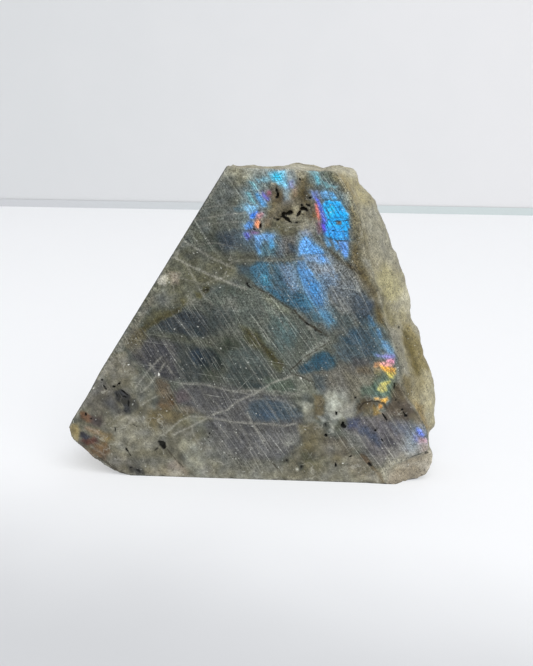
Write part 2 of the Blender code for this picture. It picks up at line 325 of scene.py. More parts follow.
    Patch((138, 136, 122), 0.4, (20.4, 22, 21.4, 21.9, 22.6, 20.8, 21.8, 20.6), 0.7),
    Patch((126, 126, 116), 0.5, (18.6, 18.6, 20, 18.8, 21.2, 17.4, 19.8, 16.8), 0.8),
    Patch((158, 159, 147), 0.6, (12.6, 20.6, 13.6, 20.9, 15, 20.2, 14.8, 17.9, 13.6, 17.4, 12.6, 18.8)),
    Patch((140, 142, 132), 0.5, (10.8, 20.8, 12.8, 20.7, 12.8, 19.7, 11.4, 19.6), 0.9),
    Patch((110, 103, 85), 0.6, (15, 22.6, 17.2, 22.6, 17.6, 20, 17.6, 18, 17, 16.2, 15.3, 16.6, 15.2, 20)),
    Patch((150, 152, 143), 0.4, (15.8, 17.3, 17.4, 17.2, 18.6, 16, 17.4, 15.8)),
    Patch((148, 150, 141), 0.4, (18.6, 15.4, 19.6, 15.6, 20.4, 14.4, 20, 13, 18.8, 13.4, 19.2, 14.4)),
    Patch((115, 110, 93), 1.0, (11.4, 14.6, 15, 15.6, 17, 13, 16, 9, 14.6, 6, 13, 6, 12.4, 10)),
    Patch((119, 116, 104), 1.2, (22.6, 28.2, 30, 27, 30, 23, 26, 22.4, 24.4, 20.6, 23.4, 24)),
    Patch((90, 82, 68), 0.7, (25.4, 19.6, 26.4, 21.4, 29, 22.2, 32.6, 21.6, 33.6, 19.6, 30, 19.6, 27, 18.6,
        25.8, 18.2)),
    Patch((92, 85, 72), 1.0, (33.6, 27, 37.5, 26.6, 38.8, 23, 37.8, 20.4, 34.2, 20.6, 33.2, 24.2)),
    Patch((97, 90, 81), 1.0, (32.6, 21, 38.6, 22, 40.4, 18.4, 38, 16.8, 33, 17.4)),
    Patch((112, 110, 99), 0.9, (33.6, 28.6, 37, 28.4, 37.6, 26.4, 34.2, 26.2), 0.9),
    Patch((84, 84, 88), 0.7, (32.8, 12.6, 35.5, 11, 36, 9.6, 34.4, 9, 32.8, 10.4), 0.8),
    Patch((100, 95, 86), 1.2, (17.4, 12, 24, 12, 26.4, 9, 23, 6.8, 18, 7.4), 0.9),
    Patch((126, 124, 112), 1.0, (15.4, 5.8, 20, 6.4, 24, 6, 27, 4.4, 29, 1, 25, -1, 14, -1, 14, 3)),
    Patch((159, 156, 141), 0.8, (33.6, 7.6, 36.2, 7.4, 38.6, 7, 37.6, 5.6, 35.4, 3.4, 33.4, 0.6, 31.6, 1.4,
        32.6, 4.6)),
    Patch((108, 106, 92), 1.2, (12.6, 6.8, 19.4, 6.4, 20, 3.8, 13.4, 3.2), 0.85),
    Patch((134, 129, 115), 0.9, (24, 7.2, 27, 7, 29.4, 3.6, 31.6, 1, 27, 1, 23.6, 4), 0.85),
    Patch((94, 80, 64), 0.4, (26.8, 7.8, 28.4, 7, 29.8, 5.4, 29.4, 4.8, 28.4, 5.4, 27, 6.9), 0.9),
    Patch((112, 100, 82), 0.4, (30, 4.8, 31.2, 3.8, 33.4, 1.4, 32.6, 1, 30.4, 3.4, 29.4, 4.2), 0.8),
    Patch((118, 115, 104), 0.9, (15.6, 15.4, 18.4, 14, 18.8, 11.4, 16.8, 10.8, 15.2, 13), 0.8),
    Patch((122, 123, 118), 1.2, (22.6, 13.8, 27.4, 12.4, 28, 9.2, 24, 9), 0.8),
    Patch((138, 136, 130), 1.0, (33.2, 9.4, 37, 10.6, 38, 7.6, 34.4, 6.2), 0.85),
    Patch((156, 152, 140), 0.7, (36.4, 8.4, 40, 9.2, 40.4, 7.4, 37, 6.4), 0.85),
    Patch((130, 122, 107), 0.8, (38.6, 18.6, 41.6, 18.6, 42.6, 15.4, 40.2, 15.2), 0.85),
    Patch((152, 151, 150), 0.6, (40.8, 15.8, 42.8, 15.8, 43.2, 13, 42, 13.4), 0.85),
    # left edge
    Patch((113, 114, 106), 1.4, (-26, 45.4, -22, 48.6, -18.8, 46, -20, 43.8, -24, 43.6)),
    Patch((146, 138, 126), 0.6, (-20.4, 52.2, -17.6, 52, -17.8, 49.4, -19.8, 49.2), 0.9),
    Patch((178, 175, 162), 0.5, (-23.4, 50.2, -22.2, 51.6, -20.6, 51.6, -20.2, 50.4, -21, 49, -22.8, 48.8)),
    Patch((148, 149, 138), 0.4, (-24.6, 48.4, -22.4, 48.4, -22.4, 47.7, -24, 47.6), 0.8),
    Patch((92, 91, 75), 0.8, (-26.6, 39.6, -24.8, 42.6, -21, 42.7, -17.6, 43.5, -17.4, 42.8, -20.6, 41.2,
        -24, 39.4, -26, 38.2)),
    Patch((74, 71, 52), 0.4, (-27.8, 37.8, -25.8, 39.4, -23, 41.1, -20, 42.4, -17.6, 43.5, -17.4, 42.9,
        -19.6, 41.6, -22.6, 40, -25.4, 38.2, -27.2, 36.8)),
    Patch((86, 84, 66), 0.6, (-17.4, 45.6, -16, 45.6, -16, 44.2, -17.2, 43.7)),
    Patch((58, 55, 30), 0.4, (-12.2, 48.7, -10.5, 48.6, -10.6, 47.6, -11.8, 47.2)),
    Patch((84, 82, 60), 0.4, (-13.9, 47.4, -12.2, 47.3, -12.4, 46, -13.8, 46.2), 0.8),
    Patch((96, 91, 75), 1.0, (-31.4, 34.8, -29, 38.2, -26.6, 38.2, -26, 35.8, -28.5, 32.6, -31, 33)),
    # A pale strip on the sloping left edge: its chipped rim, and a painted highlight where the edge catches
    # the light.
    Patch((130, 127, 116), 0.6, (-33.4, 32.8, -24.6, 46.4, -23.6, 45.8, -28, 38.4, -31, 33.6), 0.7),
    Patch((128, 125, 113), 1.2, (-35, 31.5, -31.5, 31.8, -29.5, 29, -27.4, 25.5, -29.5, 23.8, -34, 25.6,
        -38.6, 26)),
    Patch((114, 114, 105), 1.2, (-30, 26.6, -24.6, 25.6, -24, 21, -28, 19.4, -30, 22)),
    Patch((106, 104, 98), 1.2, (-42.5, 18.6, -38, 25, -34.5, 23.6, -33.6, 19, -31, 16.2, -36.5, 15,
        -39, 16.4)),
    Patch((90, 89, 85), 0.9, (-36.2, 19.4, -33.6, 20, -31.8, 17, -33.4, 16.2, -36, 17.2)),
    Patch((133, 131, 119), 1.2, (-34.6, 15.2, -31, 16.2, -27, 15.6, -24, 14, -22.5, 10.5, -25, 6.6,
        -29, 7.8, -32.4, 5.5, -35, 8, -34.4, 11.5)),
    Patch((164, 161, 149), 0.5, (-30.8, 15.4, -28.8, 15.3, -28.6, 14.4, -30.4, 14.3), 0.8),
    Patch((138, 138, 126), 1.2, (-17.4, 10.4, -14.6, 10, -11.8, 7, -10.4, 3, -9, -1, -13, -1, -15.4, 2.4,
        -17.4, 5.6, -18, 8.4)),
    Patch((138, 130, 118), 0.8, (-21.4, 3.4, -19, 4.6, -16, 2, -15.8, -1, -21.6, -1), 0.9),
    Patch((120, 118, 106), 1.0, (-9, 3.4, -3, 1.8, 4, 3.4, 8, 2, 8, -1, -9, -1), 0.8),
    Patch((124, 121, 111), 1.0, (-37, 6.6, -32, 6, -29.6, 3.4, -27.6, 1, -28, -1, -35, 0)),
    Patch((152, 147, 133), 0.7, (-27, 1.8, -22, 2.4, -18, 2, -16, 0, -27, 0), 0.85),
    Patch((126, 126, 118), 1.2, (-12, 7.6, -6, 7.6, -2, 4.8, 7, 4.6, 8, 0, -13, 0), 0.75),
    Patch((117, 117, 116), 1.4, (-0.4, 11.6, 7, 12.2, 8.4, 8, 2, 6.4), 0.75),
    Patch((126, 119, 107), 0.8, (-18.8, 19, -14.6, 18.6, -13.4, 17, -17.6, 16.6), 0.8),
    Patch((38, 46, 44), 0.9, (-12.6, 32.6, -10.6, 33.6, -7.8, 31.8, -8, 28.4, -12, 28.4), 0.92),
    Patch((88, 90, 80), 1.2, (-15, 61.6, -9.4, 61.8, -8.8, 58.4, -14, 58), 0.8),
    Patch((70, 70, 68), 0.9, (-31.4, 2.8, -28.8, 2.6, -26.6, 1.2, -27.4, 0.2, -30.6, 0.6), 0.9),
    Patch((36, 44, 48), 0.8, (-13.6, 32.4, -11, 33.2, -9, 32.4, -8.6, 30.2, -10, 29, -12.6, 29.2,
        -13.8, 30.6), 0.8),
    Patch((52, 58, 50), 0.8, (-8.6, 34.4, -6.2, 35.2, -4.8, 34, -7, 32.6), 0.8),
    Patch((72, 72, 54), 0.8, (-2, 36.8, 0.2, 36.6, 2, 34.4, 0.8, 33.6, -1.6, 35), 0.85),
    Patch((60, 66, 64), 1.0, (-11.4, 60.2, -8, 60.6, -7.6, 57.8, -10.8, 57.6), 0.7),
    Patch((88, 90, 82), 1.2, (-13, 66, -9, 66.4, -8.6, 63.2, -12.4, 62.8), 0.7),
    Patch((64, 78, 84), 1.0, (-3.6, 54, -0.4, 54.2, 1.2, 52, -1, 50.9, -3, 52), 0.75),
    Patch((62, 76, 84), 0.9, (24.8, 42.6, 27.4, 42.4, 28.6, 40, 25.6, 39.6), 0.8),
    Patch((72, 72, 58), 0.9, (12.4, 7.6, 14.6, 7.8, 15.4, 5.6, 13, 5), 0.75),
    Patch((166, 163, 150), 0.8, (-12.4, 3.4, -9.6, 3.4, -9, 1, -12, 0.8), 0.7),
    Patch((158, 153, 138), 0.9, (28.4, 3.4, 31, 3.6, 32.6, 1.2, 29, 0.6), 0.75),
    Patch((142, 140, 126), 0.8, (12.8, 18.4, 15, 18.4, 15.4, 15.8, 13, 15.8), 0.8),
    Patch((132, 130, 122), 0.9, (22.2, 20.6, 25, 20.8, 25.4, 18.6, 23.4, 17.4, 20.2, 17.6, 20.6, 19.2),
        0.6),
    Patch((86, 94, 94), 0.8, (18, 45, 20.2, 45, 20.4, 42.4, 18.4, 42.4), 0.7),
    Patch((130, 138, 128), 0.8, (2.6, 44.8, 5.4, 44.4, 5.8, 42.2, 3, 42.2), 0.7),
    # A pale strip on the sloping left edge: its chipped rim, and a painted highlight where the edge catches
    # the light.
    Patch((140, 138, 130), 0.6, (-44.6, 15.4, -34.8, 31, -33.9, 30.4, -37.8, 24, -41.6, 18, -43.4, 15),
        0.6),
    Patch((72, 61, 44), 0.6, (12.2, 67.8, 13.8, 68.2, 14, 66.4, 13.4, 64.8, 12.4, 66), 0.85),
    Patch((150, 136, 118), 0.7, (1.8, 65.4, 3.8, 65.6, 4, 63.4, 2.4, 63), 0.7),
    Patch((138, 132, 112), 0.7, (11, 76.4, 13.2, 76.4, 13.6, 74.4, 12.6, 73.8), 0.6),
    Patch((122, 114, 88), 0.9, (24, 66.8, 26, 66, 26.4, 62.6, 24.4, 62.8), 0.7),
    Patch((128, 130, 123), 1.0, (-7.6, 46.4, -4, 46.6, -3.6, 43.4, -6.6, 43), 0.65),
    Patch((122, 122, 118), 1.2, (-13.6, 9.8, -6.4, 12.4, -6, 8.6, -12, 6.6), 0.65),
    Patch((134, 134, 128), 1.0, (8, 12.6, 11.6, 12.8, 12, 9.4, 8.4, 9.2), 0.65),
    Patch((140, 138, 124), 0.8, (26.6, 27.8, 29.4, 28, 29.6, 25.4, 27, 25), 0.7),
    Patch((128, 121, 113), 0.9, (30.4, 19, 33.8, 18.8, 34.2, 16.4, 31, 16.4), 0.7),
    Patch((102, 98, 84), 1.0, (-26, 14.8, -23.2, 14.8, -22.8, 12.2, -25.6, 12.2), 0.7),
    Patch((52, 60, 62), 1.0, (-16.4, 38.4, -12.6, 39, -11.6, 36.8, -15.6, 36), 0.7),
    Patch((36, 46, 54), 0.8, (-14.2, 32, -12.2, 32.4, -11.4, 30.4, -13.4, 29.6), 0.75),
    Patch((120, 118, 110), 0.9, (-30.6, 34.4, -27.8, 34.4, -27.4, 31.6, -30.2, 31.6), 0.6),
    Patch((128, 127, 116), 0.9, (-37, 17.4, -33.8, 17.4, -33.6, 14.8, -36.8, 14.8), 0.6),
    Patch((134, 124, 98), 0.8, (27.2, 20, 29.6, 20, 29.6, 17.6, 27.4, 17.6), 0.6),
    Patch((132, 129, 116), 1.0, (17.4, 9.8, 22.6, 10.8, 22.4, 8.2, 17.8, 7.2), 0.6),
    Patch((98, 93, 80), 0.7, (19.6, 6.6, 22, 6.6, 22, 5, 19.8, 5), 0.6),
    Patch((142, 139, 132), 0.8, (29.8, 7.4, 32.8, 7.4, 33, 4.8, 30.4, 4.8), 0.6),
    Patch((172, 165, 154), 0.8, (39.2, 10.2, 42.6, 10.4, 42.6, 8.6, 39.6, 8.2), 0.7),
    Patch((164, 142, 104), 0.6, (29.4, 29.8, 31.4, 29.6, 31.2, 28, 29.4, 28.2), 0.7),
    Patch((134, 133, 126), 0.8, (-35, 26.4, -32, 26.4, -32, 23.8, -34.8, 23.6), 0.6),
    # the inclusion at the left, and the rust at the tip
    Patch((78, 79, 76), 0.8, (-31, 20.8, -28.8, 20.4, -28.2, 17.6, -30, 16.2, -31.6, 16.6), 0.85),
    Patch((57, 58, 59), 0.45, (-34.2, 21.6, -33.2, 22.6, -32, 22.6, -30.6, 21.5, -30.2, 20.6, -30.4, 17,
        -31.6, 16.6, -32.2, 18.4, -33.4, 19.6)),
    Patch((108, 86, 70), 0.5, (-43, 16.4, -42.4, 16.8, -40.4, 15.8, -39, 14.4, -39.4, 13.6, -41.4, 14,
        -42.8, 15)),
    Patch((88, 82, 78), 0.8, (-40, 15.4, -37.6, 15.6, -37, 13.8, -38.2, 12.7, -40.2, 13.2)),
    Patch((142, 131, 101), 0.6, (-47, 13.8, -43.8, 13.2, -43, 11.4, -43.6, 9.2, -45.5, 9, -47.4, 11.5)),
    Patch((138, 122, 104), 0.5, (-41.6, 12.8, -38.4, 12, -37, 11, -37.8, 10.4, -40.2, 11.4, -41.8, 12.1)),
    Patch((92, 67, 60), 0.6, (-42.2, 9.8, -38.8, 9.9, -38.4, 8.7, -40.5, 8, -42, 7.8, -42.9, 8.9)),
    Patch((62, 62, 66), 0.35, (-43.2, 11.3, -42, 11.4, -40.5, 10.4, -40.4, 9.7, -41.8, 9.3, -43.1, 9.9)),
    Patch((127, 114, 89), 0.8, (-37.8, 11.6, -35.2, 11.1, -34.9, 9.4, -36.5, 8.9, -38, 9.6)),
    Patch((110, 93, 75), 0.9, (-39.6, 8.2, -36.4, 8.8, -35.6, 6.4, -37, 4.2, -40.4, 5.6, -41, 6.8)),
    Patch((104, 96, 84), 0.9, (-24.2, 25.2, -22.8, 25.8, -20.9, 24.9, -20, 22, -19.5, 20, -18.8, 18,
        -21.8, 17, -23.8, 18.8, -23, 21)),
    Patch((76, 62, 46), 0.4, (-21.3, 24.2, -20.6, 24, -19.8, 22, -19.2, 19.4, -19.8, 18.6, -20.6, 19.8,
        -20.4, 22)),
    Patch((92, 78, 62), 0.6, (-23, 19.2, -20.4, 19, -19.8, 17.4, -22.6, 17.2), 0.9),
    Patch((110, 103, 85), 1.2, (-25.6, 17.6, -23, 17.8, -19, 18.2, -16, 16.6, -19, 14.2, -24, 13.6,
        -26, 15)),
    Patch((121, 120, 106), 0.8, (-19, 13.4, -15, 14, -10, 15.6, -13, 16.6, -17, 16, -20.4, 12.6), 0.9),
)

# The natural crust, as seen from the front.
CRUST_PATCHES: tuple[Patch, ...] = (
    Patch((174, 170, 154), 1.0, (-6, 78.6, 16, 79, 17.4, 77, 12, 76.4, 2, 76.6, -6, 77)),
    Patch((179, 174, 152), 1.0, (15.4, 79, 23, 79, 25, 76, 23.6, 74.4, 21.4, 75.4, 18, 76.6)),
    Patch((161, 153, 121), 1.4, (21, 75.6, 24.6, 74.6, 29, 70, 26, 68, 24, 70.2, 22, 73)),
    Patch((140, 129, 98), 1.0, (19.6, 76.2, 22.6, 73, 24.2, 69, 25, 64.5, 23.6, 64, 21.6, 71)),
    Patch((150, 147, 130), 1.6, (25, 68.4, 29.4, 69, 33, 63, 33.4, 60, 28, 60, 25.6, 64)),
    Patch((125, 118, 94), 1.2, (24, 65, 26, 63, 27.6, 57, 29.2, 53, 26, 53, 23.4, 58)),
    Patch((146, 143, 127), 1.4, (27.6, 63, 32, 62, 34, 56, 30.6, 56, 28, 58)),
    Patch((160, 154, 121), 1.6, (28.6, 51.6, 31, 55, 34.4, 52.4, 36.6, 48, 33, 45.6, 30.6, 47)),
    Patch((186, 181, 156), 1.2, (35, 48.2, 36, 50.6, 38, 46.5, 37.4, 43.2, 35.2, 44.4)),
    Patch((168, 164, 142), 0.7, (26.2, 55.9, 27.6, 55.6, 28.6, 53.6, 27, 53.6), 0.9),
    Patch((154, 148, 122), 1.2, (31.6, 44, 36, 44.2, 38.4, 42, 36, 41.2, 32.4, 41.2)),
    # This narrow dark patch and the darker strip a few patches below run as a dark line down the crust:
    # painted shade of a groove between the crust's inner facet and its outer lump, which the relief does not
    # cut.
    Patch((118, 112, 84), 0.8, (29.6, 48.4, 31, 48.4, 33, 43.6, 34.4, 40.4, 33.2, 40, 31.4, 43.6), 0.8),
    Patch((139, 136, 121), 1.0, (32.6, 40, 35.2, 39.2, 36.8, 34, 38.4, 30.6, 38.6, 26.6, 35.6, 28.4,
        34.4, 33)),
    Patch((132, 122, 88), 1.2, (35.8, 41, 37.6, 41, 39.4, 38.6, 42, 35, 43.6, 31, 44, 25, 41, 24, 39, 28,
        38, 32, 36.6, 36)),
    Patch((102, 93, 62), 0.6, (35.9, 39, 37, 39.2, 38, 36.4, 39.2, 33.6, 40.2, 30.6, 40.4, 28, 39.6, 27.8,
        38.8, 30.6, 37.7, 33, 36.4, 36), 0.9),
    Patch((168, 163, 142), 0.6, (38.6, 40.6, 40, 40, 41.4, 37.2, 42.6, 34.4, 41.6, 34.6, 40.2, 37.4,
        38.8, 39.4), 0.8),
    Patch((117, 108, 82), 1.0, (36.4, 28, 38.6, 28, 39.2, 24, 38.8, 21, 36.8, 22)),
    Patch((140, 132, 104), 1.0, (38.8, 27.4, 41, 28.4, 41.4, 22, 40.2, 20.4, 39, 22.4)),
    Patch((167, 160, 132), 1.0, (41.2, 29.6, 44, 30, 45.5, 20, 45, 15, 42.6, 15.6, 41.4, 20)),
    Patch((142, 127, 94), 0.8, (39.4, 22, 41.8, 20.6, 42.4, 17.8, 43.6, 15, 42.6, 14.2, 41.4, 16.4,
        39.8, 19.5)),
    Patch((170, 163, 147), 0.9, (33, -1, 34, 3, 37, 6.6, 41, 8, 45.5, 9.6, 46, 4, 43, 0, 39, -1)),
    Patch((140, 131, 114), 0.8, (33.6, 1, 34.4, 2.6, 36, 4, 40.5, 5, 44, 3.2, 41, 1.4, 36, 0.4, 33.6, -0.4),
        0.9),
    Patch((146, 137, 119), 0.6, (37, 5.8, 40, 7, 43.4, 7.9, 42.8, 6.8, 39.6, 6), 0.8),
    Patch((154, 142, 116), 0.8, (-47, 14, -44, 13, -43.4, 9, -45.6, 8.4, -47.4, 11)),
    Patch((126, 108, 94), 0.8, (-45.6, 8.6, -42, 8.4, -38, 5, -38.4, 2.6, -42.4, 5)),
    Patch((108, 106, 98), 1.0, (-39.4, 4.6, -37, 4, -32, 0.6, -33, -1, -37, 1)),
)

# Dull blues and other faint colours of the flash, laid over the tone.
HAZE_PATCHES: tuple[Patch, ...] = (
    Patch((134, 149, 149), 1.6, (-2.6, 72, 0, 75.4, 4, 75.6, 3.4, 73, 3, 70, 2.6, 67.4, 0.4, 65.6,
        -2.4, 62.8, -3.4, 65, -3, 69), 0.6),
    Patch((100, 116, 130), 1.2, (-2, 62.6, 0, 61.4, 5, 62.2, 6.6, 60.4, 6.9, 56.4, 1.8, 56.2, 0.2, 57.6,
        -1.6, 60), 0.6),
    Patch((118, 136, 140), 1.2, (12.4, 77, 15.6, 76.4, 19.6, 73, 20.4, 70.6, 16, 70, 14.6, 72.4,
        12.6, 73.6), 0.55),
    Patch((124, 133, 138), 1.2, (10.6, 63, 13.6, 62.6, 17.4, 58.6, 20.6, 56, 17.6, 53, 15, 55.6,
        10.4, 55.4), 0.5),
    Patch((102, 124, 138), 1.0, (9.4, 55, 13, 55.4, 16.6, 50, 18.6, 44, 19, 41, 15, 42.6, 12, 46, 9.6, 50),
        0.6),
    Patch((138, 148, 160), 0.8, (12.6, 55.4, 18.8, 56.6, 19.4, 53, 17, 51.4, 15, 51.6, 13.6, 53.2), 0.7),
    Patch((118, 142, 168), 1.0, (15.4, 52.4, 20.4, 52.6, 20, 50.6, 18, 48.6, 17.8, 46, 16.4, 46.6,
        15.8, 49.6), 0.75),
    Patch((110, 150, 176), 0.6, (-4.6, 67.8, -2.2, 68.6, -1.6, 67.4, -2.4, 66.8, -4.4, 67), 0.45),
    Patch((80, 112, 124), 0.9, (1.4, 58.8, 3, 59.5, 5.2, 58.8, 5, 56.6, 1.8, 56), 0.6),
    Patch((130, 160, 182), 0.5, (6.9, 72.6, 8.4, 72.5, 8.2, 70, 7.1, 69.8), 0.45),
    Patch((142, 162, 172), 0.6, (20.3, 71.6, 21.8, 71.6, 22.8, 68.6, 21.6, 68.8), 0.45),
    Patch((136, 152, 186), 0.6, (11, 62.7, 12.9, 62.7, 13.3, 61.5, 11.2, 61.4), 0.55),
    Patch((74, 114, 138), 0.6, (-0.8, 53.6, 0.8, 55.1, 3.6, 55, 4.6, 52, 5, 48.8, 7.8, 45.6, 5.4, 46.7,
        3, 48.2, 1, 49.4, 0, 51), 0.82),
    Patch((88, 146, 172), 0.6, (1.6, 52.2, 3, 52.2, 3.8, 49.6, 2.6, 49.2), 0.7),
    Patch((70, 99, 118), 1.0, (4, 54.8, 9, 54.9, 10.4, 50, 12, 47, 14.6, 43.6, 13.6, 42.4, 10.8, 43.6,
        7, 45.6, 5, 48), 0.84),
    Patch((124, 144, 166), 0.9, (6, 54.6, 9.4, 54.8, 10.6, 51.8, 11, 48.6, 9.4, 47.4, 8.2, 49.4, 6.6, 52),
        0.85),
    Patch((68, 108, 134), 0.9, (10, 47.4, 13.8, 46.6, 15, 44.6, 13, 44, 10, 44.6), 0.8),
    Patch((84, 118, 138), 1.0, (16, 43.4, 18.4, 43, 19.6, 41.2, 18.4, 39.8, 16.8, 41.2), 0.85),
    Patch((72, 98, 110), 0.9, (13.6, 43, 15.8, 43, 16.6, 41, 15.4, 40.2, 14, 41), 0.7),
    Patch((52, 80, 95), 0.7, (11.3, 28.4, 11.6, 29.6, 13, 30.6, 15.3, 32.8, 17.6, 33.3, 19.6, 32.2,
        20.3, 30.4, 19.2, 29.2, 16.2, 28.9, 13.9, 28.3, 12.1, 27.9), 0.9),
    Patch((44, 76, 94), 0.9, (15.6, 32.6, 17.6, 32.9, 18.8, 31.4, 17.8, 30.2, 15.6, 30.8), 0.88),
    Patch((92, 132, 166), 0.4, (27.4, 42.7, 28.6, 42.4, 29.6, 40.2, 29, 39.8, 28, 40.6), 0.7),
    Patch((96, 108, 88), 0.8, (29.6, 28.6, 33, 28.4, 34.6, 26, 33.8, 22.6, 30.6, 22.6, 29.4, 25), 0.6),
    Patch((82, 102, 92), 0.8, (26.3, 24.8, 30, 25.6, 31, 24.2, 33.3, 25, 33.3, 22.7, 30, 22.6, 27, 22.8),
        0.66),
    Patch((160, 130, 72), 0.5, (29.6, 20.4, 31, 20, 31.4, 18.2, 29.9, 18), 0.7),
    Patch((174, 158, 148), 0.9, (40.8, 11.8, 44, 12, 44.4, 9.2, 41.2, 8.6), 0.8),
    Patch((155, 161, 164), 1.5, (37.4, 12.4, 39.6, 14, 40.8, 11.4, 41.4, 8.8, 38.8, 8, 37.2, 9.4), 0.8),
    Patch((80, 86, 106), 0.9, (23.2, 17, 26.2, 16.6, 26.4, 15, 24, 14.7), 0.85),
    Patch((84, 92, 108), 0.9, (26.2, 15, 28.4, 14.6, 30.4, 12.9, 32.4, 10.6, 31.4, 9.9, 28.8, 12,
        26.4, 13.4), 0.85),
    Patch((110, 118, 132), 1.2, (34, 16, 38.4, 15.8, 39.4, 13.4, 35.4, 13.2), 0.55),
)

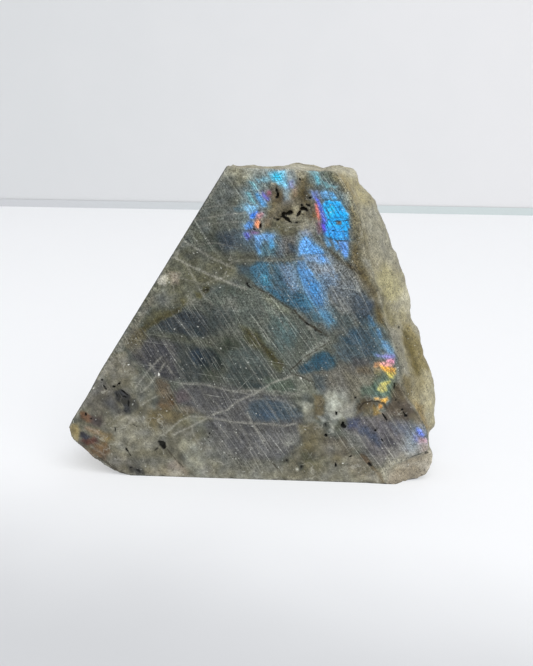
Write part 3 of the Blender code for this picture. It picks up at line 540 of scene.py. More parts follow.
# The flash: light thrown back by layers inside the stone. Colours run into each other.
FLASH_PATCHES: tuple[Patch, ...] = (
    # top, left of the pits
    Patch((140, 216, 248), 0.5, (3.6, 74.5, 3.6, 75.8, 5.2, 76.3, 6.8, 76.4, 7.3, 75.2, 8, 74, 8.8, 72.9,
        7.6, 72.6, 6.4, 73, 5, 73.7, 4.2, 74)),
    Patch((66, 212, 255), 0.5, (4, 74.9, 4.8, 76, 6.4, 75.8, 6.2, 74.4, 4.8, 74.1)),
    Patch((122, 178, 198), 0.4, (0.4, 74.4, 3.8, 75, 4, 74.1, 1.2, 73.7), 0.66),
    Patch((122, 206, 220), 0.25, (-1.1, 73.9, -0.2, 73.8, 1, 72.2, 0.2, 72), 0.65),
    Patch((114, 176, 186), 0.35, (-1.8, 71.3, -0.9, 71.3, 0.6, 69, 0.1, 68.4, -1.2, 69.8), 0.84),
    Patch((104, 172, 206), 0.3, (-0.7, 72.6, 0.1, 72.5, 1, 70.9, 0.3, 70.7), 0.5),
    Patch((90, 156, 212), 0.35, (0.2, 71, 0.9, 71.4, 2, 70.2, 2.9, 69.2, 3, 68.1, 1.7, 67.9, 0.6, 69.8),
        0.95),
    Patch((106, 104, 206), 0.3, (1.9, 71.5, 2.8, 71, 3.8, 70, 3.4, 69.4, 2.5, 69.9, 1.9, 70.8), 0.9),
    Patch((166, 92, 120), 0.4, (2.7, 72, 4, 71.8, 4, 70.7, 3, 70.5), 0.75),
    Patch((124, 184, 226), 0.45, (-2, 68.6, -0.4, 68.3, 1, 68.4, 0.8, 67.2, 0, 66.4, -1, 66.4, -1.8, 67.3),
        0.82),
    Patch((64, 134, 244), 0.3, (-0.9, 66.4, 0.9, 67.1, 1.3, 66.6, 0.2, 65.2, -0.9, 65.2)),
    Patch((208, 152, 158), 0.35, (0.5, 66.2, 1.6, 66.9, 2.4, 66.6, 2.2, 66, 1.2, 65.2, 0.5, 65.3), 0.8),
    Patch((255, 162, 116), 0.35, (0.1, 64.2, 0.4, 64.9, 1, 65.1, 1.6, 64.6, 1.5, 63.4, 1, 62.8, 0.3, 63.2)),
    Patch((96, 152, 224), 0.35, (-2.2, 63.5, -0.9, 65, 0, 64.3, -0.5, 62.9, -1.8, 62.7), 0.94),
    Patch((112, 112, 216), 0.35, (-2.4, 61.9, -1, 62, -0.6, 60.9, -1.3, 60, -1.9, 60.8), 0.85),
    Patch((156, 108, 170), 0.3, (-0.8, 62.3, 1.3, 62.2, 1, 61.6, -0.6, 61.6), 0.65),
    Patch((116, 168, 224), 0.4, (0.2, 61.4, 1.2, 61.4, 3, 61.9, 4.7, 61.8, 5.3, 60.9, 4.4, 60.3, 3, 60.2,
        2, 60.3, 1.5, 59, 1.2, 58, 0.7, 58.4, 0.4, 60), 0.95),
    Patch((92, 168, 222), 0.35, (3.5, 60.8, 4.6, 60.4, 4.9, 58.8, 4, 58.4, 3.7, 59.6), 0.92),
    Patch((104, 162, 216), 0.25, (0.3, 59.8, 1.1, 59.8, 1.8, 57.2, 1.3, 57), 0.85),
    Patch((136, 146, 206), 0.45, (7.8, 74.2, 9, 74.2, 9.3, 72.6, 8.2, 72.5), 0.66),
    # the large bright patch at the right
    Patch((108, 164, 214), 0.3, (15.3, 71.7, 16.9, 72, 17.7, 70.4, 16, 70.2)),
    Patch((98, 170, 226), 0.25, (17.3, 71.7, 18.4, 71.8, 19.7, 70.2, 18.3, 70)),
    Patch((28, 177, 254), 0.35, (16.7, 69.8, 19.9, 69.8, 21.1, 68, 21.9, 66.6, 22.1, 65.2, 22.3, 64,
        22.2, 61.6, 22, 60.4, 19.6, 60.5, 18, 60.9, 16.8, 61.6, 16, 62.6, 16.2, 64.2, 17.2, 65, 16.6, 66.2,
        16.1, 67.6, 15.9, 68.8)),
    Patch((34, 196, 250), 0.5, (16.7, 68.5, 18.6, 68.6, 18.9, 66.8, 18, 66, 17.1, 66.4), 0.95),
    Patch((56, 168, 250), 0.6, (17, 63.4, 19, 63.6, 22, 62.4, 22.2, 60.6, 19, 60.8, 17, 62), 0.98),
    Patch((124, 150, 222), 0.4, (13.3, 72, 14.8, 71.9, 15.1, 70.6, 13.8, 70.1), 0.8),
    Patch((86, 102, 210), 0.3, (14.3, 70.4, 15.2, 70, 16, 67.8, 16.9, 65.6, 17, 64, 16, 64.6, 15.6, 66.4,
        14.8, 68.6)),
    Patch((255, 136, 122), 0.25, (14.1, 69.2, 14.7, 68.8, 15.2, 67.2, 15.7, 65.7, 15.3, 65.1, 14.8, 66.2,
        14.4, 67.5)),
    Patch((104, 74, 44), 0.4, (13.4, 67.6, 14.1, 67.4, 14.7, 65.5, 14.2, 64.6, 13.6, 65.6), 0.6),
    Patch((150, 92, 112), 0.4, (14.4, 64.6, 15.6, 64.6, 16.3, 62.4, 15.2, 62), 0.66),
    Patch((108, 84, 226), 0.25, (15.8, 64.5, 16.7, 64.3, 17, 62.6, 16.4, 62.2)),
    Patch((92, 166, 224), 0.25, (16.6, 60.9, 17.5, 60.7, 18.3, 59.3, 17.6, 59), 0.8),
    Patch((92, 166, 236), 0.25, (18.1, 60.8, 19.3, 60.4, 20.3, 58.6, 19.6, 58.3), 0.92),
    Patch((104, 156, 230), 0.3, (20, 60.3, 22, 60.3, 22.4, 58.6, 22.3, 57.2, 21.8, 56.3, 21, 57.5,
        20.2, 58.8)),
    Patch((122, 84, 58), 0.25, (19.3, 65, 20.4, 65, 20.5, 64.2, 19.4, 64.2), 0.9),
    Patch((128, 184, 196), 0.4, (12.5, 76.6, 14.3, 76.9, 15.2, 76, 14.4, 74.9, 13.4, 75.5), 0.5),
    Patch((106, 196, 218), 0.25, (13.9, 75.4, 14.9, 75.2, 15.4, 73.5, 14.8, 73.3, 14.3, 74.2), 0.9),
    Patch((120, 196, 206), 0.25, (15.6, 74.3, 16.8, 74, 18, 73, 17, 72.6), 0.5),
    Patch((124, 190, 204), 0.25, (17.2, 73.7, 19.4, 73, 18.6, 72.5), 0.42),
    # the cornflower patch, and the long blue field below
    Patch((108, 178, 250), 0.4, (11.3, 61, 12.3, 61.3, 13.5, 60.6, 14.6, 59.5, 15.9, 58.5, 16.8, 57.5,
        16.4, 57, 11, 57, 10.7, 58.8)),
    Patch((136, 174, 218), 0.35, (11.8, 56.9, 17, 56.8, 17.9, 55.2, 16.4, 54.9, 12.4, 55.8), 0.78),
    Patch((106, 170, 240), 0.25, (15, 56.8, 16.5, 56.9, 17.4, 55.5, 16.6, 55.1, 15.8, 55.6), 0.9),
    Patch((82, 142, 200), 0.5, (10.6, 55.2, 12.2, 54.9, 13.4, 53.2, 14.8, 51.2, 15.9, 50.2, 16.4, 48,
        17, 46, 17.2, 44.6, 16, 44, 14.6, 45, 13.6, 46.6, 12.4, 48.4, 11.4, 50.4, 10.6, 52.8), 0.8),
    Patch((120, 164, 210), 0.4, (10.4, 55.4, 12.2, 55.5, 12.7, 54.4, 11.4, 53.6, 10.6, 54.4), 0.75),
    Patch((100, 165, 230), 0.35, (11.3, 53.5, 13.4, 53.5, 14.6, 52.2, 12.2, 51.6), 0.9),
    Patch((80, 148, 210), 0.5, (13.2, 50.8, 15.6, 50.3, 16, 48, 14.8, 46.4, 13.4, 47.6, 12.8, 49.4), 0.95),
    Patch((84, 132, 168), 0.5, (15.2, 44.8, 17, 44.8, 18.2, 43, 19.2, 41.2, 18.4, 40.2, 17, 41.6, 15.8, 43),
        0.66),
    # the teal patch, and the rainbow at the right
    Patch((92, 136, 172), 0.4, (29.5, 39.6, 30.4, 39.4, 31, 37.6, 30.4, 37, 29.8, 38), 0.78),
    Patch((112, 162, 204), 0.4, (31, 36.6, 32.5, 36, 33.6, 34.4, 34.3, 33, 32.8, 32.8, 32, 34.4,
        31.2, 35.4), 0.72),
    Patch((152, 146, 214), 0.35, (29.8, 33, 32, 33.3, 34.4, 33.2, 34.4, 32.2, 31.8, 32.1), 0.85),
    Patch((232, 156, 180), 0.25, (32, 32, 34.3, 32.1, 34.2, 30.9, 32.6, 31)),
    Patch((255, 190, 84), 0.3, (30.3, 31, 31.6, 30.9, 32.4, 30.4, 33.6, 30.2, 34.6, 29.8, 34.7, 28.4,
        33.8, 27.8, 32.6, 28.6, 31.2, 29.4)),
    Patch((248, 176, 172), 0.3, (30.6, 31.2, 32.6, 31.3, 33.8, 30.8, 34, 30.2, 32, 30.3, 30.9, 30.5), 0.85),
    Patch((214, 158, 110), 0.3, (29.4, 31.3, 30.5, 31.3, 30.6, 30, 29.4, 29.9), 0.8),
    Patch((222, 206, 104), 0.35, (32.2, 28.8, 34.4, 28.8, 34.4, 27.2, 33, 27.2), 0.9),
    Patch((200, 190, 108), 0.3, (30.7, 26.2, 31.7, 26.4, 33.6, 26.8, 33.4, 25.9, 32.6, 25.4, 32.7, 24.2,
        31.5, 23.6, 30.5, 24.3, 31, 25.3), 0.92),
    Patch((214, 206, 128), 0.25, (30.7, 25.6, 32, 25.7, 32.5, 24.5, 31.3, 24, 30.5, 24.5), 0.8),
    Patch((226, 178, 108), 0.25, (29.7, 22.3, 30.9, 22.4, 31, 21.6, 29.8, 21.7), 0.88),
    Patch((240, 184, 88), 0.25, (31.3, 22, 32.9, 22.5, 33.2, 21.8, 32.5, 20.9, 31.5, 21.2)),
    Patch((235, 166, 84), 0.25, (30.8, 20.8, 31.8, 20.4, 32, 19.5, 31, 19.4), 0.92),
    # lower right
    Patch((122, 144, 244), 0.5, (40.4, 14.8, 41.5, 14.4, 42.5, 13.2, 42, 12.4, 41, 12.8, 40.3, 13.8)),
    Patch((140, 148, 206), 0.6, (39.7, 13, 41, 12.7, 41, 11.4, 39.8, 11.3), 0.8),
    Patch((196, 158, 172), 0.4, (41, 12.5, 43.2, 12.4, 43.4, 11, 41.2, 11), 0.7),
)

# Veins and scratches that are paler than the stone.
PALE_STROKES: tuple[Stroke, ...] = (
    Stroke(1.0, 0.26, (-19.6, 56, -14.7, 53.6, -10.2, 51.6, -4.7, 49.5, -1.5, 48.4)),
    Stroke(0.95, 0.24, (-17, 59.7, -15.2, 58.9, -10.2, 55.9, -6.5, 54.3, -4.7, 53.4)),
    Stroke(0.5, 0.22, (-6.5, 53.6, -5.2, 54.8, -2.9, 55.5, 3, 55.3, 6, 55.6, 12, 56, 17, 57)),
    Stroke(0.6, 0.24, (-16.4, 54.6, -13.8, 50, -12, 46.8, -9.7, 44.3)),
    Stroke(0.45, 0.2, (-18.4, 51, -12, 49.4, -6, 51.6)), Stroke(0.5, 0.22, (-14, 64.6, -8, 65.9, -2, 66.6)),
    Stroke(0.4, 0.2, (-13, 63, -7, 64.4, -2.4, 64.4)), Stroke(0.4, 0.2, (-8, 72.4, -4, 71, -2, 69.4)),
    Stroke(0.45, 0.2, (-6.4, 74.4, -3.8, 73.2, -1.6, 72.8)),
    Stroke(0.4, 0.2, (-11.8, 67.5, -7, 68.4, -3, 68)), Stroke(0.4, 0.18, (-16, 58.6, -9, 59.4, -3, 58.2)),
    Stroke(0.75, 0.2, (-15.8, 46.6, -14.4, 44.2)), Stroke(0.6, 0.2, (-16.4, 44.4, -13.8, 45.8)),
    Stroke(0.5, 0.2, (-15, 47.2, -15.1, 43.6)), Stroke(0.45, 0.18, (-16.8, 45.4, -13.4, 45)),
    Stroke(0.95, 0.3, (-10.6, 16.4, -6.1, 18.2, -3.8, 20.3, -0.2, 22.1, 2.5, 23.7, 4.8, 25.3, 7.1, 26.2,
        9.8, 27.3)),
    Stroke(0.8, 0.26, (-19.7, 11.2, -15.2, 13.5, -10.6, 16.2)),
    Stroke(0.7, 0.26, (-21.5, 11.6, -17.9, 15, -15.2, 16.1, -11.1, 16.1, -7.9, 15.6, -4.3, 15, -0.2, 14.8,
        4, 14.8, 8, 14.4, 11, 15.2)),
    Stroke(0.6, 0.26, (-17.9, 24.6, -12.5, 24.6, -8.4, 23.8, -5.2, 22.9, -2.5, 23.2, 0.6, 23.3, 6, 23.2,
        12, 22.5)),
    Stroke(0.45, 0.2, (-5.2, 22.6, 0, 23, 5, 22.4, 10, 22)),
    Stroke(0.6, 0.24, (-0.6, 20.6, 0.6, 21.2, 5.2, 21.3, 8.4, 20.5, 10.4, 19.4)),
    Stroke(0.85, 0.24, (-22.2, 31.2, -24.6, 28.8, -26.6, 26.2, -28.8, 23.2)),
    Stroke(0.8, 0.24, (-21.5, 29.6, -23.4, 26.6, -25.4, 24, -27.5, 22)),
    Stroke(0.9, 0.24, (-25.2, 29.4, -24, 27.8, -22.9, 26.2)), Stroke(0.8, 0.2, (-20.9, 28.9, -19.7, 27.1)),
    Stroke(0.55, 0.24, (-27.6, 18.6, -25.6, 20, -23.4, 21.2)),
    Stroke(1.0, 0.18, (-21, 23.7, -20.5, 22.8, -20.1, 21.9)),
    Stroke(0.5, 0.3, (-34.4, 12.8, -33, 14.2, -31.1, 15.7)),
    Stroke(0.4, 0.26, (-35.6, 13.6, -33.6, 15.6, -31.8, 16.4)),
    Stroke(0.45, 0.2, (-17.5, 24.4, -15, 21.2, -12.8, 17.2)),
    Stroke(0.5, 0.22, (-15, 13.2, -14.4, 11, -13, 8.8)), Stroke(0.5, 0.18, (-19.4, 41.8, -17, 38.6)),
    Stroke(0.5, 0.2, (-9.2, 47, -8, 45.4, -4.4, 39.5, -2.6, 36.4)),
    Stroke(0.55, 0.2, (-5.6, 45.4, -3.6, 42.8)), Stroke(0.5, 0.2, (3.2, 46.4, 8.4, 38.6)),
    Stroke(0.5, 0.18, (10.2, 44, 13.8, 39, 15.4, 36.4)),
    Stroke(0.5, 0.2, (-22, 35.4, -19.4, 32, -17.6, 30)), Stroke(0.8, 0.22, (-1.2, 17.6, 0.6, 14, 3, 10.3)),
    Stroke(0.55, 0.2, (-3, 14.2, -1.2, 11.8)), Stroke(0.5, 0.2, (0.8, 9.8, 2.4, 7.4)),
    Stroke(0.5, 0.2, (5, 14, 7.6, 10.3)), Stroke(0.5, 0.2, (8.6, 20.2, 11, 16.6)),
    Stroke(0.5, 0.2, (-4.4, 12.6, -2.4, 9.6)), Stroke(0.45, 0.2, (3.6, 20.6, 6.6, 15.8)),
    Stroke(0.45, 0.2, (17.6, 51.8, 19.6, 52.6)), Stroke(0.45, 0.2, (18.2, 51.4, 21.8, 51.8)),
    Stroke(0.5, 0.2, (19.4, 47, 22.6, 43)), Stroke(0.45, 0.2, (20.6, 47.6, 23.4, 44)),
    Stroke(0.45, 0.2, (18.4, 46.6, 21.6, 42.6)), Stroke(0.5, 0.2, (21, 30, 21.3, 27.6, 21.8, 25.6)),
    Stroke(0.45, 0.2, (19.2, 28, 21, 28)), Stroke(0.5, 0.2, (33.5, 18, 38, 12)),
    Stroke(0.5, 0.2, (35.6, 17.4, 39.6, 12.2)), Stroke(0.5, 0.2, (31, 9.5, 34.2, 5.2)),
    Stroke(0.45, 0.2, (27.8, 12.2, 31, 8)), Stroke(0.45, 0.2, (32.4, 15.4, 36, 10.6)),
    Stroke(0.45, 0.2, (25.4, 13.4, 28.6, 9.2)), Stroke(0.5, 0.22, (35.6, 34.4, 37, 32, 39, 29.6)),
    # The wider strokes on the sloping left edge, the second on this line and both on the next, are its pale
    # chipped rim and a painted highlight where the edge catches the light.
    Stroke(0.5, 0.24, (-42.6, 13.1, -38.4, 11.4)), Stroke(1.0, 0.55, (-11.3, 69, -6.2, 77.2)),
    Stroke(0.6, 0.3, (-34, 32, -30.4, 37.6)), Stroke(0.7, 0.32, (-44.6, 14.8, -42.2, 18.6)),
    Stroke(0.45, 0.2, (-41, 12.6, -36.6, 10)), Stroke(0.45, 0.22, (-40.4, 7.4, -37, 5.4)),
    Stroke(0.4, 0.2, (-39.4, 8.6, -36, 7)),
)

# Cracks and dark seams.
DARK_STROKES: tuple[Stroke, ...] = (
    Stroke(0.75, 0.26, (0, 49.3, 2, 48.1, 5.2, 46.4, 7.9, 44.5, 10, 43.4, 11.1, 42.1)),
    Stroke(1.0, 0.34, (11.1, 42.1, 13.4, 40.2, 15.2, 39.1, 16.5, 38.2)),
    Stroke(0.7, 0.22, (16.5, 38.2, 18.9, 36.9)),
    Stroke(0.7, 0.22, (18.9, 36.2, 16.5, 34.6, 15, 33.5, 13, 32.3, 11.8, 31.3, 10.5, 29.8, 9, 28.7)),
    Stroke(0.5, 0.16, (-3.8, 40.1, -1.9, 38.2, 0.3, 36.5, 2.3, 34.8, 3.7, 33.3, 6.7, 30.4, 8.9, 28.7)),
    Stroke(0.6, 0.26, (9, 28.6, 9.8, 27.8, 13, 26.6, 15, 25.6, 15.4, 24)),
    Stroke(0.9, 0.26, (26.2, 19.2, 27.1, 20.8, 28.9, 21.4, 30.7, 21.3, 32.2, 20.9, 33, 19.6)),
    Stroke(0.9, 0.2, (-21.1, 7.4, -20, 5.8, -18.6, 4.2, -17.2, 2.8)), Stroke(0.85, 0.18, (4.8, 5, 6.6, 3)),
    Stroke(0.6, 0.2, (38.6, 7.1, 40, 7.4, 41.6, 8.1, 44, 9.1)),
    Stroke(0.45, 0.2, (27.6, 33.2, 30, 30.4, 33, 27.6, 34, 26.4)),
    Stroke(0.8, 0.22, (-38.4, 4.6, -36.5, 3.2, -34.4, 1.6, -32, 0.5)),
    Stroke(0.6, 0.18, (-36.4, 3.6, -34.4, 2.2, -32.6, 1.4)),
    Stroke(0.6, 0.17, (16.7, 69.2, 17.4, 66.6, 18.4, 64.2)),
    Stroke(0.55, 0.17, (15.9, 68.6, 16.6, 66.6, 17.5, 65)), Stroke(0.65, 0.17, (17.8, 66, 20.2, 65.9)),
    Stroke(0.85, 0.18, (17.4, 65.2, 20, 65, 22.3, 65.3)),
    Stroke(0.5, 0.16, (18, 64.4, 20, 64.2, 22.4, 64.4)),
    Stroke(0.7, 0.17, (17.2, 61, 19.6, 60.4, 22.4, 60.4)),
    Stroke(0.6, 0.16, (16.4, 69.9, 18.2, 69.7, 20.4, 69.9)), Stroke(0.55, 0.16, (18.3, 68.2, 19.2, 67.7)),
    Stroke(0.65, 0.16, (17.5, 71, 18.1, 70, 18, 69.2, 19.2, 68)),
    Stroke(0.55, 0.16, (18.6, 71.6, 19.8, 69.8)), Stroke(0.6, 0.16, (20.3, 63, 21.3, 64)),
    Stroke(0.6, 0.16, (18.6, 63.5, 19.2, 61.3)), Stroke(0.65, 0.16, (17, 64.2, 17.8, 62.8, 18.2, 61.2)),
    Stroke(0.45, 0.16, (19.6, 69.4, 20.4, 67.2)), Stroke(0.45, 0.16, (14.9, 71.9, 15.4, 70.4, 16, 69)),
    Stroke(0.45, 0.14, (2.2, 75.4, 5, 73.6, 8, 72.9)), Stroke(0.45, 0.16, (4.2, 54, 9, 47)),
    Stroke(0.4, 0.2, (5.6, 54, 10.4, 47)), Stroke(0.4, 0.2, (2.4, 54.6, 6.6, 48.6)),
    Stroke(0.5, 0.2, (5, 50, 7, 48)), Stroke(0.5, 0.2, (10, 53.6, 10.8, 52.5)),
    Stroke(0.4, 0.14, (15.2, 51, 13.6, 52.8, 11, 54.4)), Stroke(0.4, 0.14, (13, 52.6, 15.8, 47.4)),
    Stroke(0.45, 0.14, (14.4, 45.4, 16.6, 44.2)), Stroke(0.45, 0.16, (11, 58.4, 13.4, 57.8, 16, 57)),
    Stroke(0.5, 0.18, (-23.8, 24.6, -22, 21.4, -21, 19)), Stroke(0.5, 0.16, (-22.8, 25.2, -21.2, 22.4)),
    Stroke(0.5, 0.18, (39.8, 33.6, 40.6, 30, 40.6, 26)), Stroke(0.45, 0.16, (35.6, 4.8, 38, 5.8, 41, 6.2)),
    Stroke(0.4, 0.16, (34.6, 1.6, 37.4, 3.4, 41.6, 3.6)),
    Stroke(0.5, 0.16, (-44.2, 15.6, -42.6, 14.8, -40.6, 15)),
    Stroke(0.5, 0.18, (-41.8, 8.9, -39.6, 8.8, -37.2, 7.9)),
    Stroke(0.45, 0.18, (-40.8, 6.6, -38.4, 5.4, -36, 4.3)),
    Stroke(0.5, 0.18, (-43, 16.6, -41.4, 15.2, -39.4, 14.2)),
    Stroke(0.45, 0.16, (2.4, 73.2, 5, 73.1, 8.4, 72.4)),
)

# Where the stone is a grainy mass, without the long streaks that the saw left in the large crystals.
GRAINY_PATCHES: tuple[Patch, ...] = (
    Patch(STONE_GREY, 1.5, (-47, 10, -33, 33, -30, 33, -28, 27, -25, 25, -19, 18, -12, 16.6, -11.5, 12,
        -8, 6, -3, 1, -3, -2, -36, -2, -44, 5)),
    Patch(STONE_GREY, 1.5, (-8, -2, -6, 2.6, 3, 3, 8, 7, 12, 11, 13, 15, 11, 20, 14, 24, 19, 24.4, 25, 22,
        26, 18, 23.6, 16, 20, 12, 18, 10, 23, 8.4, 27, 7, 33, 2, 36, -2)),
    Patch(STONE_GREY, 1.5, (-28.6, 38, -25, 43, -20, 56, -17, 59, -4, 57.4, 2, 56, -1, 50, -10, 47, -16, 44,
        -24, 39)),
    Patch(STONE_GREY, 1.2, (2, 62, 9, 61, 14, 62.5, 15.4, 68, 14.4, 72, 16, 77, 9, 78, 4, 74, 3, 68)),
    Patch(STONE_GREY, 1.0, (-7.6, 78, 3, 78, 2, 75, -6, 73.6)),
    Patch(STONE_GREY, 2.0, (-15, 61, -2, 58, 1, 66, -2, 76, -7, 76), 0.6),
    Patch(STONE_GREY, 1.2, (25.4, 22, 34, 22.4, 39.4, 24, 41, 17.4, 37, 17, 33, 19, 27, 18)),
    Patch(STONE_GREY, 1.0, (24.4, 63, 26.2, 63, 33, 42, 29, 42, 25, 52)),
)

# Dark minerals shut in the stone, and the bottoms of its pits.
INCLUSIONS: tuple[Blot, ...] = (
    Blot(5.25, 71.9, 1.3, 0.4, -78), Blot(5.6, 70.9, 0.6, 1.1, 12), Blot(5.35, 70.3, 0.9, 0.5),
    Blot(7.1, 66.5, 1.0, 1.1, 20), Blot(8.5, 66.8, 1.1, 0.8, 15), Blot(7.9, 66.5, 1.0, 0.7, 20),
    Blot(6.6, 65.8, 0.8, 0.4, 20, 0.8), Blot(7.3, 65.8, 0.9, 0.9), Blot(7.8, 65.4, 1.2, 0.8, -30),
    Blot(8.5, 64.8, 1.2, 0.35, -42, 0.9), Blot(5.7, 65.2, 1.1, 0.55, 8),
    Blot(4.9, 65.4, 0.9, 0.4, -10, 0.7), Blot(10, 64.5, 1.0, 0.45, -5, 0.8), Blot(10.6, 66.7, 2.0, 0.7, 54),
    Blot(11.6, 67.7, 1.7, 0.85, -8), Blot(11.1, 68.5, 0.6, 0.9, 0, 0.85),
    Blot(12.7, 68.6, 1.1, 0.6, -25, 0.9), Blot(12.4, 67.3, 1.0, 0.5, 20, 0.7),
    Blot(11.5, 66.4, 0.8, 0.4, 0, 0.75), Blot(13.1, 70.3, 0.7, 0.8, 0, 0.85),
    Blot(1.6, 63.6, 0.55, 1.4, -5), Blot(0.2, 62.7, 0.8, 0.5, -20, 0.8),
    Blot(10.6, 74.5, 0.6, 0.9, 20, 0.75), Blot(2.2, 66.7, 0.4, 0.4, 0, 0.7),
    Blot(-1.5, 49.7, 0.42, 1.0, 15), Blot(-0.9, 49, 0.9, 0.3, -42, 0.9),
    Blot(-11.2, 47.9, 1.3, 0.8, 25, 0.5), Blot(34.5, 25.4, 0.36, 1.5, 6), Blot(36.7, 19.4, 0.7, 0.6),
    Blot(37.1, 18.6, 1.3, 0.24, -58), Blot(37.6, 17.9, 0.95, 0.7, 0, 0.8), Blot(32.4, 17.5, 1.9, 0.36, -55),
    Blot(30.4, 13.9, 0.55, 0.6, 0, 0.9), Blot(32.2, 11.3, 1.1, 0.42, -55, 0.95),
    Blot(22.5, 14.8, 1.5, 1.2, -25, 0.8), Blot(22.4, 15.5, 0.6, 0.9), Blot(20.7, 18, 0.5, 1.3, 8),
    Blot(18.3, 12.3, 0.9, 0.75), Blot(29.4, 5, 1.5, 1.0, -40, 0.7), Blot(20.9, 4.6, 0.5, 1.3, 10, 0.95),
    Blot(18.2, 14.9, 0.5, 1.2, 20, 0.7), Blot(24.3, 6.8, 1.1, 0.4, 30, 0.9), Blot(17.9, 26.2, 0.5, 0.55),
    Blot(26.5, 28.6, 0.32, 0.32, 0, 0.7), Blot(35, 21.8, 0.5, 0.4, 0, 0.9),
    Blot(35.6, 21.2, 0.5, 0.4, 0, 0.6), Blot(40.7, 13.4, 0.8, 0.3, -50),
    Blot(25.2, 22.1, 0.45, 0.45, 0, 0.8), Blot(43.2, 8.5, 1.2, 0.6, 15, 0.7),
    Blot(26.3, 20.5, 0.5, 0.5, 0, 0.8), Blot(-22.4, 8.7, 1.9, 1.7, -30, 0.7),
    Blot(-22, 8, 1.4, 1.2, 50, 0.75), Blot(-24, 7.2, 1.6, 0.7, 40, 0.55),
    Blot(-23.2, 9.3, 0.9, 0.7, 0, 0.7), Blot(-31.4, 6.9, 1.4, 0.5, -62),
    Blot(-30.5, 5.4, 1.4, 0.24, -60, 0.9), Blot(-28.9, 13.2, 1.3, 0.25, -30, 0.85),
    Blot(-34.2, 12, 0.28, 1.3, 15, 0.8), Blot(-34.2, 23.3, 1.0, 0.6, 20, 0.9), Blot(-33, 24, 1.4, 0.4, 40),
    Blot(-36.4, 22.8, 2.1, 0.36, -62), Blot(-37.2, 24.9, 0.4, 0.4, 0, 0.8),
    Blot(-31.5, 24.8, 0.5, 0.4, 0, 0.8), Blot(-35.7, 20.8, 0.4, 0.4, 0, 0.7),
    Blot(-31.5, 21.7, 2.2, 0.5, -38), Blot(-31.6, 20.7, 1.1, 0.4, -20, 0.8),
    Blot(-30.7, 18.9, 0.4, 2.6, 0, 0.75), Blot(-33.6, 21.2, 0.4, 1.1, 0, 0.6),
    Blot(-31.7, 17, 0.8, 0.4, 0, 0.6), Blot(-10.6, 11.8, 0.35, 0.4, 0, 0.8),
    Blot(-10.9, 10.9, 0.4, 0.3, 0, 0.8), Blot(-10.6, 9.7, 0.35, 0.5, 20, 0.8),
    Blot(-41.5, 15.9, 0.4, 0.9, 0, 0.9), Blot(-40.2, 14.8, 0.5, 0.5, 0, 0.9),
    Blot(-39, 14, 0.4, 0.6, 0, 0.5), Blot(-30.4, 2.2, 0.9, 0.5, 20, 0.6),
    Blot(-28.6, 1.3, 1.6, 0.8, -35, 0.6), Blot(-27.5, 0.7, 0.9, 0.4, 0, 0.5),
    Blot(3.2, 3.8, 1.2, 0.3, -55, 0.5), Blot(8.7, 5.4, 0.8, 0.7, 0, 0.6), Blot(12.4, 3.8, 0.7, 0.9, 0, 0.6),
    Blot(10.2, 7.2, 0.25, 0.7, 20, 0.7), Blot(18.6, 62.7, 0.4, 0.4, 0, 0.8),
    Blot(-17.5, 57, 0.6, 0.5, 0, 0.6), Blot(25.5, 11.5, 0.6, 0.25, -50, 0.6),
    Blot(-36.2, 17.8, 0.6, 0.4, 0, 0.5), Blot(-2.8, 2.8, 0.5, 0.4, 0, 0.6),
    Blot(27, 70.3, 0.5, 0.35, 0, 0.6), Blot(26.7, 69.6, 0.35, 0.35, 0, 0.6),
    Blot(25.3, 70.6, 0.35, 0.35, 0, 0.5), Blot(28.3, 64.8, 0.35, 0.35, 0, 0.6),
    Blot(34.6, 50.4, 0.35, 0.4, 0, 0.5), Blot(34.1, 47.8, 0.35, 0.35, 0, 0.5),
    Blot(31.7, 52.2, 0.35, 0.35, 0, 0.4), Blot(32.4, 44.7, 0.4, 0.4, 0, 0.5),
    Blot(35, 40, 0.4, 1.0, 0, 0.8), Blot(13, 40.2, 1.4, 0.4, -38, 0.8), Blot(15, 38.6, 1.0, 0.35, -45, 0.8),
    Blot(16.6, 37.6, 0.8, 0.35, -20, 0.7), Blot(24.7, 47.9, 0.4, 0.4, 0, 0.7),
    Blot(19, 46, 0.4, 0.4, 0, 0.6), Blot(23.6, 38.9, 0.3, 0.3, 0, 0.5),
)
